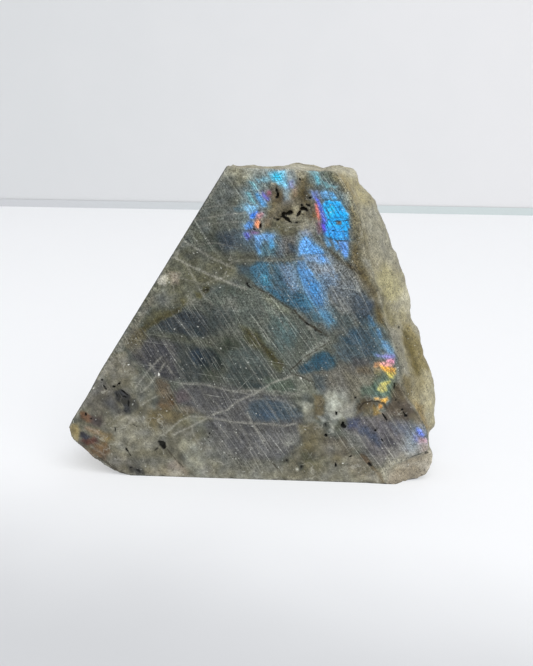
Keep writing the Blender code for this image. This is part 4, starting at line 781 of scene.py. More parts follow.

# Painted highlights: near-white dots in the colour where tiny facets catch the light.
SPARKLES: tuple[Blot, ...] = (
    Blot(7.6, 66, 0.5, 0.4, 0, 0.85), Blot(11.3, 67.1, 0.5, 0.4, 0, 0.75),
    Blot(4.3, 65.6, 0.6, 0.35, -20, 0.8), Blot(11.8, 26.8, 1.2, 0.55, -40), Blot(-7.3, 10, 0.5, 0.5),
    Blot(-7.5, 19.6, 0.6, 0.4), Blot(7.6, 21.5, 0.35, 0.4), Blot(2.2, 26.3, 0.5, 0.35),
    Blot(-12.1, 36.3, 0.6, 0.35), Blot(-13.5, 39, 0.5, 0.3), Blot(-8, 48.7, 0.55, 0.3),
    Blot(-9.7, 50.6, 0.4, 0.3), Blot(-0.2, 45.7, 0.35, 0.4), Blot(10.1, 47.4, 0.4, 0.3),
    Blot(8.6, 51.2, 0.6, 0.5, 0, 0.8), Blot(9.6, 50.4, 0.6, 0.5, 0, 0.75),
    Blot(8.2, 49.9, 0.6, 0.4, 0, 0.75), Blot(9, 48.6, 0.5, 0.5, 0, 0.7), Blot(10.6, 49.5, 0.6, 0.5, 0, 0.8),
    Blot(9.4, 49.4, 0.4, 0.4), Blot(7.6, 52.4, 0.5, 0.5, 0, 0.7), Blot(-23.1, 32.6, 0.6, 0.45),
    Blot(-23, 26.7, 0.5, 1.1), Blot(-26.7, 28.7, 0.45, 0.4), Blot(-30.4, 29, 0.9, 0.4, 20),
    Blot(-21.1, 17.4, 0.5, 0.4), Blot(-27, 18.9, 0.9, 0.6, 0, 0.7), Blot(-39.4, 22.8, 0.9, 0.5, 20),
    Blot(-32.8, 32.4, 1.2, 0.5, -50, 0.7), Blot(-30.6, 31, 0.7, 0.4, -30, 0.7),
    Blot(-18.5, 56.8, 0.4, 0.35, 0, 0.6), Blot(-13.3, 57, 0.5, 0.3), Blot(-4.4, 66.4, 0.4, 0.4),
    Blot(23.8, 50.4, 0.4, 0.4), Blot(10.2, 54.9, 0.6, 0.4), Blot(9, 55.2, 0.5, 0.4),
    Blot(6, 54.3, 0.5, 0.3), Blot(-6.2, 41.4, 0.5, 0.35, 0, 0.7), Blot(35.9, 34, 0.45, 0.4),
    Blot(28.3, 20.7, 0.7, 0.4), Blot(26.7, 20.6, 0.4, 0.4), Blot(22.7, 5.1, 0.5, 0.4),
    Blot(33.3, 6.9, 0.35, 0.4), Blot(-5.2, 76.6, 0.5, 0.4), Blot(-2.6, 75, 0.4, 0.4),
    Blot(19.4, 8, 0.6, 0.5, 0, 0.8), Blot(2, 9.3, 1.2, 0.4, -50, 0.5), Blot(-28.9, 1.9, 0.4, 0.5),
    Blot(-10.4, 0.8, 0.7, 0.5, -60, 0.6), Blot(-17.2, 0.9, 1.0, 0.5, 0, 0.5),
    Blot(11.3, 3.2, 0.8, 0.4, 0, 0.8), Blot(34, 36, 0.4, 0.3), Blot(37.7, 39.8, 0.4, 0.3),
    Blot(38.4, 26.8, 0.5, 0.3, 30),
)


def linear(colour: Colour | np.ndarray) -> np.ndarray:
    """The linear light of a colour given as an eye sees it, 0 to 255."""
    share = np.clip(np.asarray(colour, float) / 255.0, 0.0, 1.0)
    return np.where(share <= 0.04045, share / 12.92, ((share + 0.055) / 1.055) ** 2.4)


def rgba(colour: Colour) -> tuple[float, float, float, float]:
    """A colour as a shader socket takes it."""
    return (*linear(colour).tolist(), 1.0)


def smoothstep(share: np.ndarray) -> np.ndarray:
    """0 below 0, 1 above 1, and a smooth rise between them."""
    share = np.clip(share, 0.0, 1.0)
    return share * share * (3.0 - 2.0 * share)


def rise(value: np.ndarray, start: float, end: float) -> np.ndarray:
    """0 before start, 1 past end, and a smooth rise between them. The end may be the lower one."""
    return smoothstep((value - start) / (end - start))


def hump(value: np.ndarray, middle: float | np.ndarray, width: float) -> np.ndarray:
    """1 at the middle, and a smooth fall to both sides."""
    return np.exp(-(((value - middle) / width) ** 2))


def laid_over(under: np.ndarray, over: np.ndarray | Colour, share: np.ndarray) -> np.ndarray:
    """A colour laid over another, by a share from 0 to 1 at each point."""
    share = share[:, None]
    return under * (1.0 - share) + np.asarray(over, float) * share


def noise_at(places: np.ndarray, size: float, shift: float = 0.0) -> np.ndarray:
    """Smooth noise, about -1 to 1.

    Args:
        places: Points, one in each row, in mm.
        size: The size of the noise's forms, in mm.
        shift: Moves the noise, so that two layers differ.

    Returns:
        One value for each point.
    """
    scaled = places / size + shift
    return np.array([noise.noise(Vector(p)) for p in scaled.tolist()])


def corners(numbers: tuple[float, ...]) -> np.ndarray:
    """A flat row of numbers as places, one in each row."""
    return np.asarray(numbers, float).reshape(-1, 2)


def along_and_across(places: np.ndarray, slope: float) -> tuple[np.ndarray, np.ndarray]:
    """Measures places along and across a line that runs down to the right.

    Args:
        places: The places, one in each row, in mm.
        slope: The line's slope, in degrees.

    Returns:
        How far each place is along the line and across it, in mm.
    """
    turn = math.radians(slope)
    along = places @ np.array((math.cos(turn), -math.sin(turn)))
    return along, places @ np.array((math.sin(turn), math.cos(turn)))


def distance_to_route(places: np.ndarray, route: np.ndarray) -> np.ndarray:
    """How far each place is from a line.

    Args:
        places: The places, one in each row, in mm.
        route: The places that the line runs through, in mm.

    Returns:
        One distance for each place, in mm.
    """
    nearest = np.full(len(places), np.inf)
    for start, end in zip(route, route[1:]):
        along = end - start
        share = np.clip((places - start) @ along / (along @ along), 0.0, 1.0)
        nearest = np.minimum(nearest, np.linalg.norm(places - start - share[:, None] * along, axis=1))
    return nearest


def depth_inside(places: np.ndarray, outline: np.ndarray) -> np.ndarray:
    """How deep each place lies inside an outline.

    Args:
        places: The places, one in each row, in mm.
        outline: The outline's corners, in mm.

    Returns:
        One depth for each place, in mm, below 0 outside the outline.
    """
    inside = np.zeros(len(places), bool)
    x, z = places[:, 0], places[:, 1]
    for (ax, az), (bx, bz) in zip(outline, np.roll(outline, -1, axis=0)):
        if az == bz:
            continue
        crosses = (az > z) != (bz > z)
        inside ^= crosses & (x < (bx - ax) * (z - az) / (bz - az) + ax)
    away = distance_to_route(places, np.vstack([outline, outline[:1]]))
    return np.where(inside, away, -away)


@dataclass(frozen=True)
class Viewpoint:
    """The photographer's eye: where it is, in metres, and which way it looks, in degrees."""

    place: Triple = (0.01469, -0.22698, 0.08796)
    to_the_right: float = 3.0
    downwards: float = 13.0
    roll: float = 0.7
    lens_mm: float = 50.0
    sensor_mm: float = 36.0

    def matrix(self) -> Matrix:
        """The camera's place and turn.

        Returns:
            Its matrix in the world.
        """
        side, down, roll = (math.radians(a) for a in (self.to_the_right, self.downwards, self.roll))
        back = Vector((math.sin(side) * math.cos(down), -math.cos(side) * math.cos(down), math.sin(down)))
        level = Vector((0, 0, 1)).cross(back).normalized()
        up = back.cross(level)
        right = level * math.cos(roll) + up * math.sin(roll)
        up = up * math.cos(roll) - level * math.sin(roll)
        matrix = Matrix((right, up, back)).transposed().to_4x4()
        matrix.translation = Vector(self.place)
        return matrix

    def seen_on(self, points: np.ndarray, plane_y: float) -> np.ndarray:
        """Where each point seems to lie on an upright plane.

        Args:
            points: Points in metres, one in each row.
            plane_y: The plane's y, in metres.

        Returns:
            The x and z of each point on the plane, in mm.
        """
        eye = np.array(self.place)
        ray = points - eye
        share = (plane_y - eye[1]) / ray[:, 1]
        return (eye + ray * share[:, None])[:, (0, 2)] / MM


@dataclass
class FacePainter:
    """Paints the broad face in code: patches, lines and small dots, as values at each place.

    All sizes are mm. A raggedness noise, drawn out along the saw's lines, shakes every edge.
    """

    places: np.ndarray
    ragged_size: float = 1.1
    drawn_out: float = 2.6
    coarse_share: float = 0.7
    fine_share: float = 0.55
    patch_ragged: float = 0.6
    dot_ragged: float = 0.16
    line_shake: float = 0.12
    flash_spread: float = 1.4
    halo: float = 0.3
    halo_spread: float = 5.0
    halo_fade: float = 0.3
    saw_spacing: float = 1.7
    saw_width: float = 0.16
    saw_bend: float = 0.3

    def __post_init__(self) -> None:
        """Works out the noise that makes every edge ragged."""
        along, across = along_and_across(self.places, SAW_SLOPE)
        flat = np.column_stack([along / self.drawn_out, across, np.zeros(len(across))])
        self.coarse = noise_at(flat, self.ragged_size)
        self.fine = noise_at(flat, self.ragged_size / 3.0, 7.3)
        self.ragged = self.coarse_share * self.coarse + self.fine_share * self.fine

    def near(self, outline: np.ndarray, margin: float) -> np.ndarray:
        """The numbers of the places that lie in the outline's box, with a margin."""
        low, high = outline.min(0) - margin, outline.max(0) + margin
        return np.nonzero(((self.places >= low) & (self.places <= high)).all(1))[0]

    def cover(self, patch: Patch, spread: float = 1.0) -> tuple[np.ndarray, np.ndarray]:
        """How far a patch covers each place near it.

        Args:
            patch: The patch.
            spread: How many times wider its soft edge is taken.

        Returns:
            The numbers of the places, and the cover there from 0 to 1.
        """
        outline = corners(patch.outline)
        soft = patch.soft * spread
        which = self.near(outline, 2.0 * soft)
        ragged = self.patch_ragged * (0.25 + patch.soft) * self.ragged[which]
        depth = depth_inside(self.places[which], outline) + ragged
        return which, smoothstep(0.5 + 0.5 * depth / soft)

    def colours(self, ground: Colour, patches: tuple[Patch, ...]) -> np.ndarray:
        """Patches laid over each other.

        Args:
            ground: The colour under them.
            patches: The patches, the lowest first.

        Returns:
            The colour at each place as seen, 0 to 255.
        """
        seen = np.tile(np.asarray(ground, float), (len(self.places), 1))
        for patch in patches:
            which, cover = self.cover(patch)
            seen[which] = laid_over(seen[which], patch.colour, patch.cover * cover)
        return seen

    def flash(self, patches: tuple[Patch, ...]) -> tuple[np.ndarray, np.ndarray]:
        """The flash: a wide weak halo round every patch first, and then the patches themselves.

        Args:
            patches: The patches, the lowest first.

        Returns:
            The colour at each place as seen, 0 to 255, and how strong it is, from 0 to 1.
        """
        colour = np.tile(np.asarray(patches[0].colour, float), (len(self.places), 1))
        strength = np.zeros(len(self.places))
        for patch in patches:
            which, wide = self.cover(patch, self.halo_spread)
            colour[which] = laid_over(colour[which], patch.colour, wide)
            strength[which] = np.maximum(strength[which], self.halo * patch.cover * wide)
        for patch in patches:
            which, cover = self.cover(patch, self.flash_spread)
            colour[which] = laid_over(colour[which], patch.colour, cover)
            faded = strength[which] * (1.0 - self.halo_fade * cover)
            strength[which] = np.maximum(faded, patch.cover * cover)
        return colour, strength

    def mask(self, patches: tuple[Patch, ...]) -> np.ndarray:
        """Where any patch lies.

        Args:
            patches: The patches, whose colours don't matter.

        Returns:
            One value for each place, from 0 to 1.
        """
        value = np.zeros(len(self.places))
        for patch in patches:
            which, cover = self.cover(patch)
            value[which] = np.maximum(value[which], patch.cover * cover)
        return value

    def strokes(self, strokes: tuple[Stroke, ...], broken: float) -> np.ndarray:
        """Thin lines that break up along their length.

        Args:
            strokes: The lines.
            broken: How far they fade where they break, from 0 to 1.

        Returns:
            One value for each place, from 0 to 1.
        """
        value = np.zeros(len(self.places))
        for number, stroke in enumerate(strokes):
            route = corners(stroke.route)
            which = self.near(route, 4.0 * stroke.half_width)
            shake = np.column_stack([self.coarse[which], self.fine[which]])
            away = distance_to_route(self.places[which] + self.line_shake * shake, route)
            wear = 1.0 - broken * smoothstep(0.5 + 1.2 * self.ragged[which] + 0.3 * math.sin(number))
            line = stroke.strength * wear * hump(away, 0.0, stroke.half_width)
            value[which] = np.maximum(value[which], line)
        return value

    def blots(self, blots: tuple[Blot, ...], edge: float) -> np.ndarray:
        """Small dots.

        Args:
            blots: The dots.
            edge: The width of their soft edge.

        Returns:
            One value for each place, from 0 to 1.
        """
        value = np.zeros(len(self.places))
        for blot in blots:
            middle = np.array((blot.x, blot.z))
            reach = max(blot.length, blot.width) + edge
            which = np.nonzero((np.abs(self.places - middle) < reach).all(1))[0]
            along, across = along_and_across(self.places[which] - middle, -blot.turn)
            oval = np.hypot(along / (0.5 * blot.length), across / (0.5 * blot.width))
            depth = (1.0 - oval) * 0.5 * min(blot.length, blot.width) + self.dot_ragged * self.ragged[which]
            value[which] = np.maximum(value[which], blot.strength * smoothstep(0.5 + depth / edge))
        return value

    def saw_marks(self) -> np.ndarray:
        """The saw's pale parallel lines, in families that cross a little.

        Returns:
            One value for each place, from 0 to 1.
        """
        value = np.zeros(len(self.places))
        for family, lines in enumerate(SAW_LINES):
            along, across = along_and_across(self.places, SAW_SLOPE + lines.swing)
            gap = self.saw_spacing * lines.gap
            wander = noise_at(np.column_stack([along / 30.0, across / 9.0, across * 0]), 1.0, family)
            bent = across / gap + self.saw_bend * wander
            number = np.floor(bent)
            seed = np.column_stack([along / lines.length, number * 3.71, np.full(len(along), 11.0 * family)])
            shown = smoothstep(2.2 * noise_at(seed, 1.0, 0.37 + family))
            middle = 0.5 + 0.28 * np.sin(number * 12.9898 + family)
            line = hump(bent - number, middle, self.saw_width / gap)
            value = np.maximum(value, shown * line * lines.strength)
        return value


@dataclass
class StoneSurface:
    """The relief and the painted layers of the skin. Shares run from 0 to 1."""

    mesh: bpy.types.Mesh
    rim: np.ndarray
    facing: Pair = (0.55, 0.9)
    left_cut_high: Pair = (-6.1, 77.3)
    left_cut_low: Pair = (-45.3, 14.0)
    left_cut_out_mm: float = 0.42
    rim_width_mm: float = 0.4
    edge_chip_mm: float = 0.3
    foot_drop_mm: float = 1.5
    foot_reach_mm: float = 2.2
    pit_depth_mm: float = 0.5
    crack_depth_mm: float = 0.16
    scratch_depth_mm: float = 0.03
    face_wave_mm: float = 0.03
    crust_lump_mm: float = 0.4
    crust_lump_size_mm: float = 3.2
    crust_grain_mm: float = 0.14
    crust_grain_size_mm: float = 0.9
    # Pale along the rim and the base: partly wear, partly a painted highlight on the rim and a painted floor
    # reflection on the base.
    rim_wear_and_highlight: float = 0.55
    base_wear_and_reflection: float = 0.5
    sawn_mottle: Pair = (0.35, 1.0)
    crust_mottle: float = 0.55
    hidden_mottle: float = 0.6
    grain_hole: Colour = (58, 55, 44)
    hidden_blue: Colour = (60, 140, 205)
    hidden_violet: Colour = (96, 100, 190)
    hidden_gold: Colour = (190, 150, 90)
    face_veil: float = 0.04
    crust_veil: float = 0.012
    flash_veil: float = 0.012
    veil_limit: float = 0.38
    light_gain: float = 1.07

    def __post_init__(self) -> None:
        """Reads the points, sorts them into surfaces and draws the marks on them."""
        self.count = len(self.mesh.vertices)
        metres, normals = np.empty(self.count * 3), np.empty(self.count * 3)
        self.mesh.vertices.foreach_get("co", metres)
        self.mesh.vertex_normals.foreach_get("vector", normals)
        self.metres, self.normals = metres.reshape(-1, 3), normals.reshape(-1, 3)
        self.points = self.metres / MM
        self.sort_surfaces()
        self.painter = FacePainter(Viewpoint().seen_on(self.metres, FACE_Y))
        self.dark = self.painter.strokes(DARK_STROKES, 0.3)
        self.pale = self.painter.strokes(PALE_STROKES, 0.45)
        self.saw = self.painter.saw_marks()
        self.inclusions = self.painter.blots(INCLUSIONS, 0.2)
        self.sparkles = self.painter.blots(SPARKLES, 0.3)
        self.grainy = self.painter.mask(GRAINY_PATCHES)
        away = self.rim_distance()
        self.at_rim = hump(away, 0.0, self.rim_width_mm) * (away < 3.0)

    def sort_surfaces(self) -> None:
        """Sorts the points into the sawn sides and the crust."""
        face_y = FACE_Y / MM
        x_out, y_out, z_out = self.normals.T
        _, y, z = self.points.T
        self.front = rise(-y_out, *self.facing) * rise(y, face_y + 1.2, face_y + 0.6)
        self.back = rise(y_out, *self.facing) * (y > -face_y - 1.2)
        self.left = rise(-x_out, 0.5, 0.7) * (self.left_cut_distance() < 0.7)
        base = rise(-z_out, 0.6, 0.9) * (z < 0.6)
        self.crust = 1.0 - np.clip(self.front + self.back + base + self.left, 0.0, 1.0)
        self.towards_eye = rise(-y_out, -0.12, 0.18) * rise(y, 9.0, 3.0)

    def left_cut_distance(self) -> np.ndarray:
        """How far each point is from the plane of the sloping cut, in mm.

        Returns:
            One distance for each point.
        """
        high, low = np.array(self.left_cut_high), np.array(self.left_cut_low)
        along = (high - low) / np.linalg.norm(high - low)
        return np.abs((self.points[:, (0, 2)] - low) @ np.array((along[1], -along[0])))

    def rim_distance(self) -> np.ndarray:
        """How far each point of the broad face is from its rim, in mm, and far off elsewhere.

        Returns:
            One distance for each point.
        """
        away = np.full(self.count, 99.0)
        which = np.nonzero(self.front > 0.02)[0]
        places = self.points[which][:, (0, 2)]
        near = away[which]
        for ends in self.rim:
            near = np.minimum(near, distance_to_route(places, ends))
        away[which] = near
        return away

    def apply(self) -> None:
        """Gives every point its relief and its colours."""
        tone, (flash_seen, flash) = self.tone(), self.flash()
        self.metres += self.normals * (self.relief() * MM)[:, None]
        self.shape_foot()
        self.mesh.vertices.foreach_set("co", self.metres.ravel())
        self.mesh.update()
        front, crust = self.front, self.crust
        veil = self.face_veil * (1.0 - crust) + self.crust_veil * crust
        flash_seen = self.stone_colour(flash_seen, np.full(self.count, self.flash_veil))
        fine_saw = 0.3 * self.saw * (1.0 - 0.75 * self.grainy)
        pale = front * np.maximum(self.pale, fine_saw) + 0.5 * self.saw * (self.back + self.left)
        self.store(Layer.TONE, self.stone_colour(tone, veil))
        self.store(Layer.FLASH, np.column_stack([flash_seen, flash]))
        self.store(Layer.PALE_LINE, pale)
        self.store(Layer.DARK_LINE, front * self.dark)
        self.store(Layer.INCLUSION, np.maximum(front, crust * self.towards_eye) * self.inclusions)
        self.store(Layer.SPARKLE, front * self.sparkles)
        self.store(Layer.GRAINY, self.grainy * front + 0.4 * (1.0 - front))
        self.store(Layer.CRUST, crust)

    def tone(self) -> np.ndarray:
        """The stone's colour without its flash, as seen, with wear and painted light along the rim and the
        base.

        Returns:
            The colour at each point, 0 to 255.
        """
        z, coarse = self.points[:, 2], self.painter.coarse
        low, high = self.sawn_mottle
        face = self.painter.colours(STONE_GREY, FIELD_PATCHES + TONE_PATCHES + HAZE_PATCHES)
        face = self.mottled(face, low + (high - low) * self.grainy)
        crust = self.mottled(self.painter.colours(CRUST_BEIGE, CRUST_PATCHES), self.crust_mottle)
        crust = laid_over(self.clouded(CRUST_BEIGE, CRUST_CLOUDS, 2.4), crust, self.towards_eye)
        tone = laid_over(self.clouded(STONE_GREY, SAWN_CLOUDS, 2.6), face, self.front)
        tone = laid_over(tone, crust, self.crust)
        # Pale along the face's rim: chipped wear, and a painted highlight where the edges catch the light.
        rim = self.at_rim * self.front * rise(z, 0.0, 3.0) * smoothstep(0.5 + 1.3 * coarse)
        tone = laid_over(tone, EDGE_WEAR_AND_HIGHLIGHT, self.rim_wear_and_highlight * rim)
        # Pale along the foot of the face: pale chips, and a painted reflection of the bright floor that
        # lifts the shade at the base.
        base = self.front * hump(z, 0.25, 0.5) * smoothstep(0.65 + coarse)
        return laid_over(tone, EDGE_WEAR_AND_HIGHLIGHT, self.base_wear_and_reflection * base)

    def mottled(self, seen: np.ndarray, share: float | np.ndarray) -> np.ndarray:
        """Breaks a colour up into lighter, warmer and darker grains.

        Args:
            seen: The colour at each point, 0 to 255.
            share: How strongly, from 0 to 1.

        Returns:
            The broken colours.
        """
        large = noise_at(self.points, 1.9, 31.0)
        middle = noise_at(self.points, 0.85, 13.0)
        light = 1.0 + share * (0.03 + 0.22 * large + 0.12 * middle)
        warm = share * 4.5 * noise_at(self.points, 2.6, 71.0)
        seen = seen * light[:, None] + np.column_stack([warm, 0.5 * warm, -warm])
        return laid_over(seen, self.grain_hole, 0.25 * share * smoothstep(6.0 * (middle - 0.4)))

    def cloud_noise(self) -> tuple[np.ndarray, np.ndarray, np.ndarray]:
        """The large, middle and small noise of the sides that the photograph doesn't show."""
        return tuple(noise_at(self.points, *sizes) for sizes in ((15.0, 21.0), (6.0, 4.2), (2.4, 8.8)))

    def clouded(self, ground: Colour, clouds: tuple[Cloud, ...], steep: float) -> np.ndarray:
        """A colour for a side that the photograph doesn't show.

        Args:
            ground: The colour under the clouds.
            clouds: The clouds, the lowest first.
            steep: How sharp their edges are.

        Returns:
            The colour at each point as seen, 0 to 255.
        """
        large, middle, small = self.cloud_noise()
        seen = np.tile(np.asarray(ground, float), (self.count, 1))
        for cloud in clouds:
            value = cloud.large * large + cloud.middle * middle + cloud.small * small
            seen = laid_over(seen, cloud.colour, cloud.cover * smoothstep(0.1 + steep * value))
        return self.mottled(seen, self.hidden_mottle)

    def flash(self) -> tuple[np.ndarray, np.ndarray]:
        """The flash, as painted on the broad face and made up on the back.

        Returns:
            Its colour at each point as seen, 0 to 255, and how strong it is.
        """
        large, middle, small = self.cloud_noise()
        hidden = np.tile(np.asarray(self.hidden_violet, float), (self.count, 1))
        hidden = laid_over(hidden, self.hidden_blue, smoothstep(0.5 + 1.2 * middle))
        hidden = laid_over(hidden, self.hidden_gold, smoothstep(3.0 * (small - 0.35)))
        hidden_strength = 0.85 * smoothstep(2.6 * (large + 0.35 * middle - 0.12))
        seen, strength = self.painter.flash(FLASH_PATCHES)
        return laid_over(hidden, seen, self.front), strength * self.front + hidden_strength * self.back

    def relief(self) -> np.ndarray:
        """The crust's lumps, the pits, cracks and scratches, the chipped rim and the full left edge.

        Returns:
            How far each point moves out along its normal, in mm.
        """
        points, front, crust = self.points, self.front, self.crust
        lumps = noise_at(points, self.crust_lump_size_mm) + 0.5 * np.abs(noise_at(points, 1.7, 4.4)) - 0.4
        grain = noise_at(points, self.crust_grain_size_mm, 3.1)
        relief = crust * (self.crust_lump_mm * lumps + self.crust_grain_mm * grain)
        relief -= front * (self.pit_depth_mm * self.inclusions + self.crack_depth_mm * self.dark)
        relief -= front * self.scratch_depth_mm * np.maximum(self.pale, self.saw)
        relief -= self.edge_chip_mm * self.at_rim * smoothstep(0.2 + 1.6 * noise_at(points, 1.7, 9.7))
        relief += self.face_wave_mm * noise_at(points, 0.8, 5.5) * (1.0 - crust)
        edge = rise(self.left_cut_distance(), 1.2, 0.4) * rise(points[:, 2], 20.0, 28.0)
        tip = rise(points[:, 2], 13.5, 11.0) * rise(points[:, 0], -36.0, -40.0)
        return relief + self.left_cut_out_mm * np.maximum(edge, tip) * (-self.normals[:, 0] > 0.3)

    def shape_foot(self) -> None:
        """Brings the foot under the broken corner down to the floor and forward to the face."""
        x, y, z = self.points.T
        down = hump(x, 34.4, 3.4) * rise(z, 3.4, 0.4) * (z > 0.25)
        self.metres[:, 2] = np.maximum(self.metres[:, 2] - self.foot_drop_mm * down * MM, 0.0)
        forward = hump(x, 34.8, 2.4) * rise(z, 3.2, 0.4) * rise(y, -3.0, -6.0) * (x > 32.6)
        room = np.maximum(self.metres[:, 1] - FACE_Y, 0.0)
        self.metres[:, 1] -= np.minimum(self.foot_reach_mm * forward * MM, room)

    def stone_colour(self, seen: np.ndarray, veil: np.ndarray) -> np.ndarray:
        """The stone's own colour, for one that is seen in the studio's light under a pale gloss.

        Args:
            seen: The colours as seen, 0 to 255.
            veil: The light that gloss and scratches add at each point.

        Returns:
            The linear colours.
        """
        light = linear(seen)
        veil = np.minimum(veil[:, None], self.veil_limit * light.min(1, keepdims=True))
        return np.clip((light - veil) / self.light_gain, 0.003, 1.0)

    def store(self, layer: Layer, values: np.ndarray) -> None:
        """Keeps a painted layer on the mesh.

        Args:
            layer: The layer.
            values: One value, or one colour with or without its strength, for each point.
        """
        if values.ndim == 1:
            attribute = self.mesh.attributes.new(layer.value, "FLOAT", "POINT")
            attribute.data.foreach_set("value", values.astype(np.float32))
            return
        if values.shape[1] == 3:
            values = np.column_stack([values, np.ones(len(values))])
        attribute = self.mesh.attributes.new(layer.value, "FLOAT_COLOR", "POINT")
        attribute.data.foreach_set("color", values.astype(np.float32).ravel())


@dataclass
class StoneSkin:
    """The stone's fine outer skin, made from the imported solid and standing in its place."""

    name: str = "stone"
    voxel: float = 0.00057
    face_band: float = 0.0004
    pits_low: Pair = (0.5, 62.0)
    pits_high: Pair = (13.5, 73.5)

    def build(self) -> bpy.types.Object:
        """Makes the skin and paints it.

        Returns:
            The piece, at the origin, with its place in its mesh.
        """
        skin = self.solid_copy()
        rim = self.face_rim(skin.data)
        self.remesh(skin)
        self.refine_face(skin.data)
        triangles = sum(len(p.vertices) - 2 for p in skin.data.polygons)
        LOG.info("skin: %d points, %d triangles", len(skin.data.vertices), triangles)
        StoneSurface(skin.data, rim).apply()
        return skin

    def solid_copy(self) -> bpy.types.Object:
        """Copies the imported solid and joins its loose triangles.

        Returns:
            The copy.
        """
        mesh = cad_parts[NODE].data.copy()
        mesh.name = self.name
        mesh.materials.clear()
        skin = bpy.data.objects.new(self.name, mesh)
        bpy.context.scene.collection.objects.link(skin)
        bpy.ops.object.select_all(action="DESELECT")
        skin.select_set(True)
        bpy.context.view_layer.objects.active = skin
        bpy.ops.object.mode_set(mode="EDIT")
        bpy.ops.mesh.select_all(action="SELECT")
        bpy.ops.mesh.remove_doubles(threshold=1e-6)
        bpy.ops.object.mode_set(mode="OBJECT")
        return skin

    def face_rim(self, mesh: bpy.types.Mesh) -> np.ndarray:
        """Finds the edges where the broad face ends, apart from those of the pits.

        Args:
            mesh: The joined mesh of the solid.

        Returns:
            The two ends of each edge, x and z in mm.
        """
        bm = bmesh.new()
        bm.from_mesh(mesh)
        ends = []
        for edge in bm.edges:
            if len(edge.link_faces) != 2:
                continue
            front = [f.normal.y < -0.9 and abs(f.calc_center_median().y - FACE_Y) < 1e-4
                     for f in edge.link_faces]
            if front[0] != front[1]:
                ends.append([(v.co.x / MM, v.co.z / MM) for v in edge.verts])
        bm.free()
        ends = np.array(ends)
        middle = ends.mean(1)
        in_pits = (middle > self.pits_low).all(1) & (middle < self.pits_high).all(1)
        return ends[~in_pits]

    def remesh(self, skin: bpy.types.Object) -> None:
        """Turns the solid's long triangles into an even fine mesh.

        Args:
            skin: The piece, which is the active object.
        """
        remesh = skin.modifiers.new("even_mesh", "REMESH")
        remesh.mode = "VOXEL"
        remesh.voxel_size = self.voxel
        remesh.use_smooth_shade = True
        bpy.ops.object.modifier_apply(modifier=remesh.name)

    def refine_face(self, mesh: bpy.types.Mesh) -> None:
        """Halves the faces of the broad face, which carries the finest detail.

        Args:
            mesh: The mesh of the active object.
        """
        bpy.ops.object.mode_set(mode="EDIT")
        bpy.ops.mesh.select_all(action="DESELECT")
        bpy.ops.object.mode_set(mode="OBJECT")
        for polygon in mesh.polygons:
            on_face = abs(polygon.center.y - FACE_Y) < self.face_band
            polygon.select = on_face and polygon.normal.y < -0.8
        bpy.ops.object.mode_set(mode="EDIT")
        bpy.ops.mesh.select_mode(type="FACE")
        bpy.ops.mesh.subdivide(number_cuts=1)
        bpy.ops.object.mode_set(mode="OBJECT")


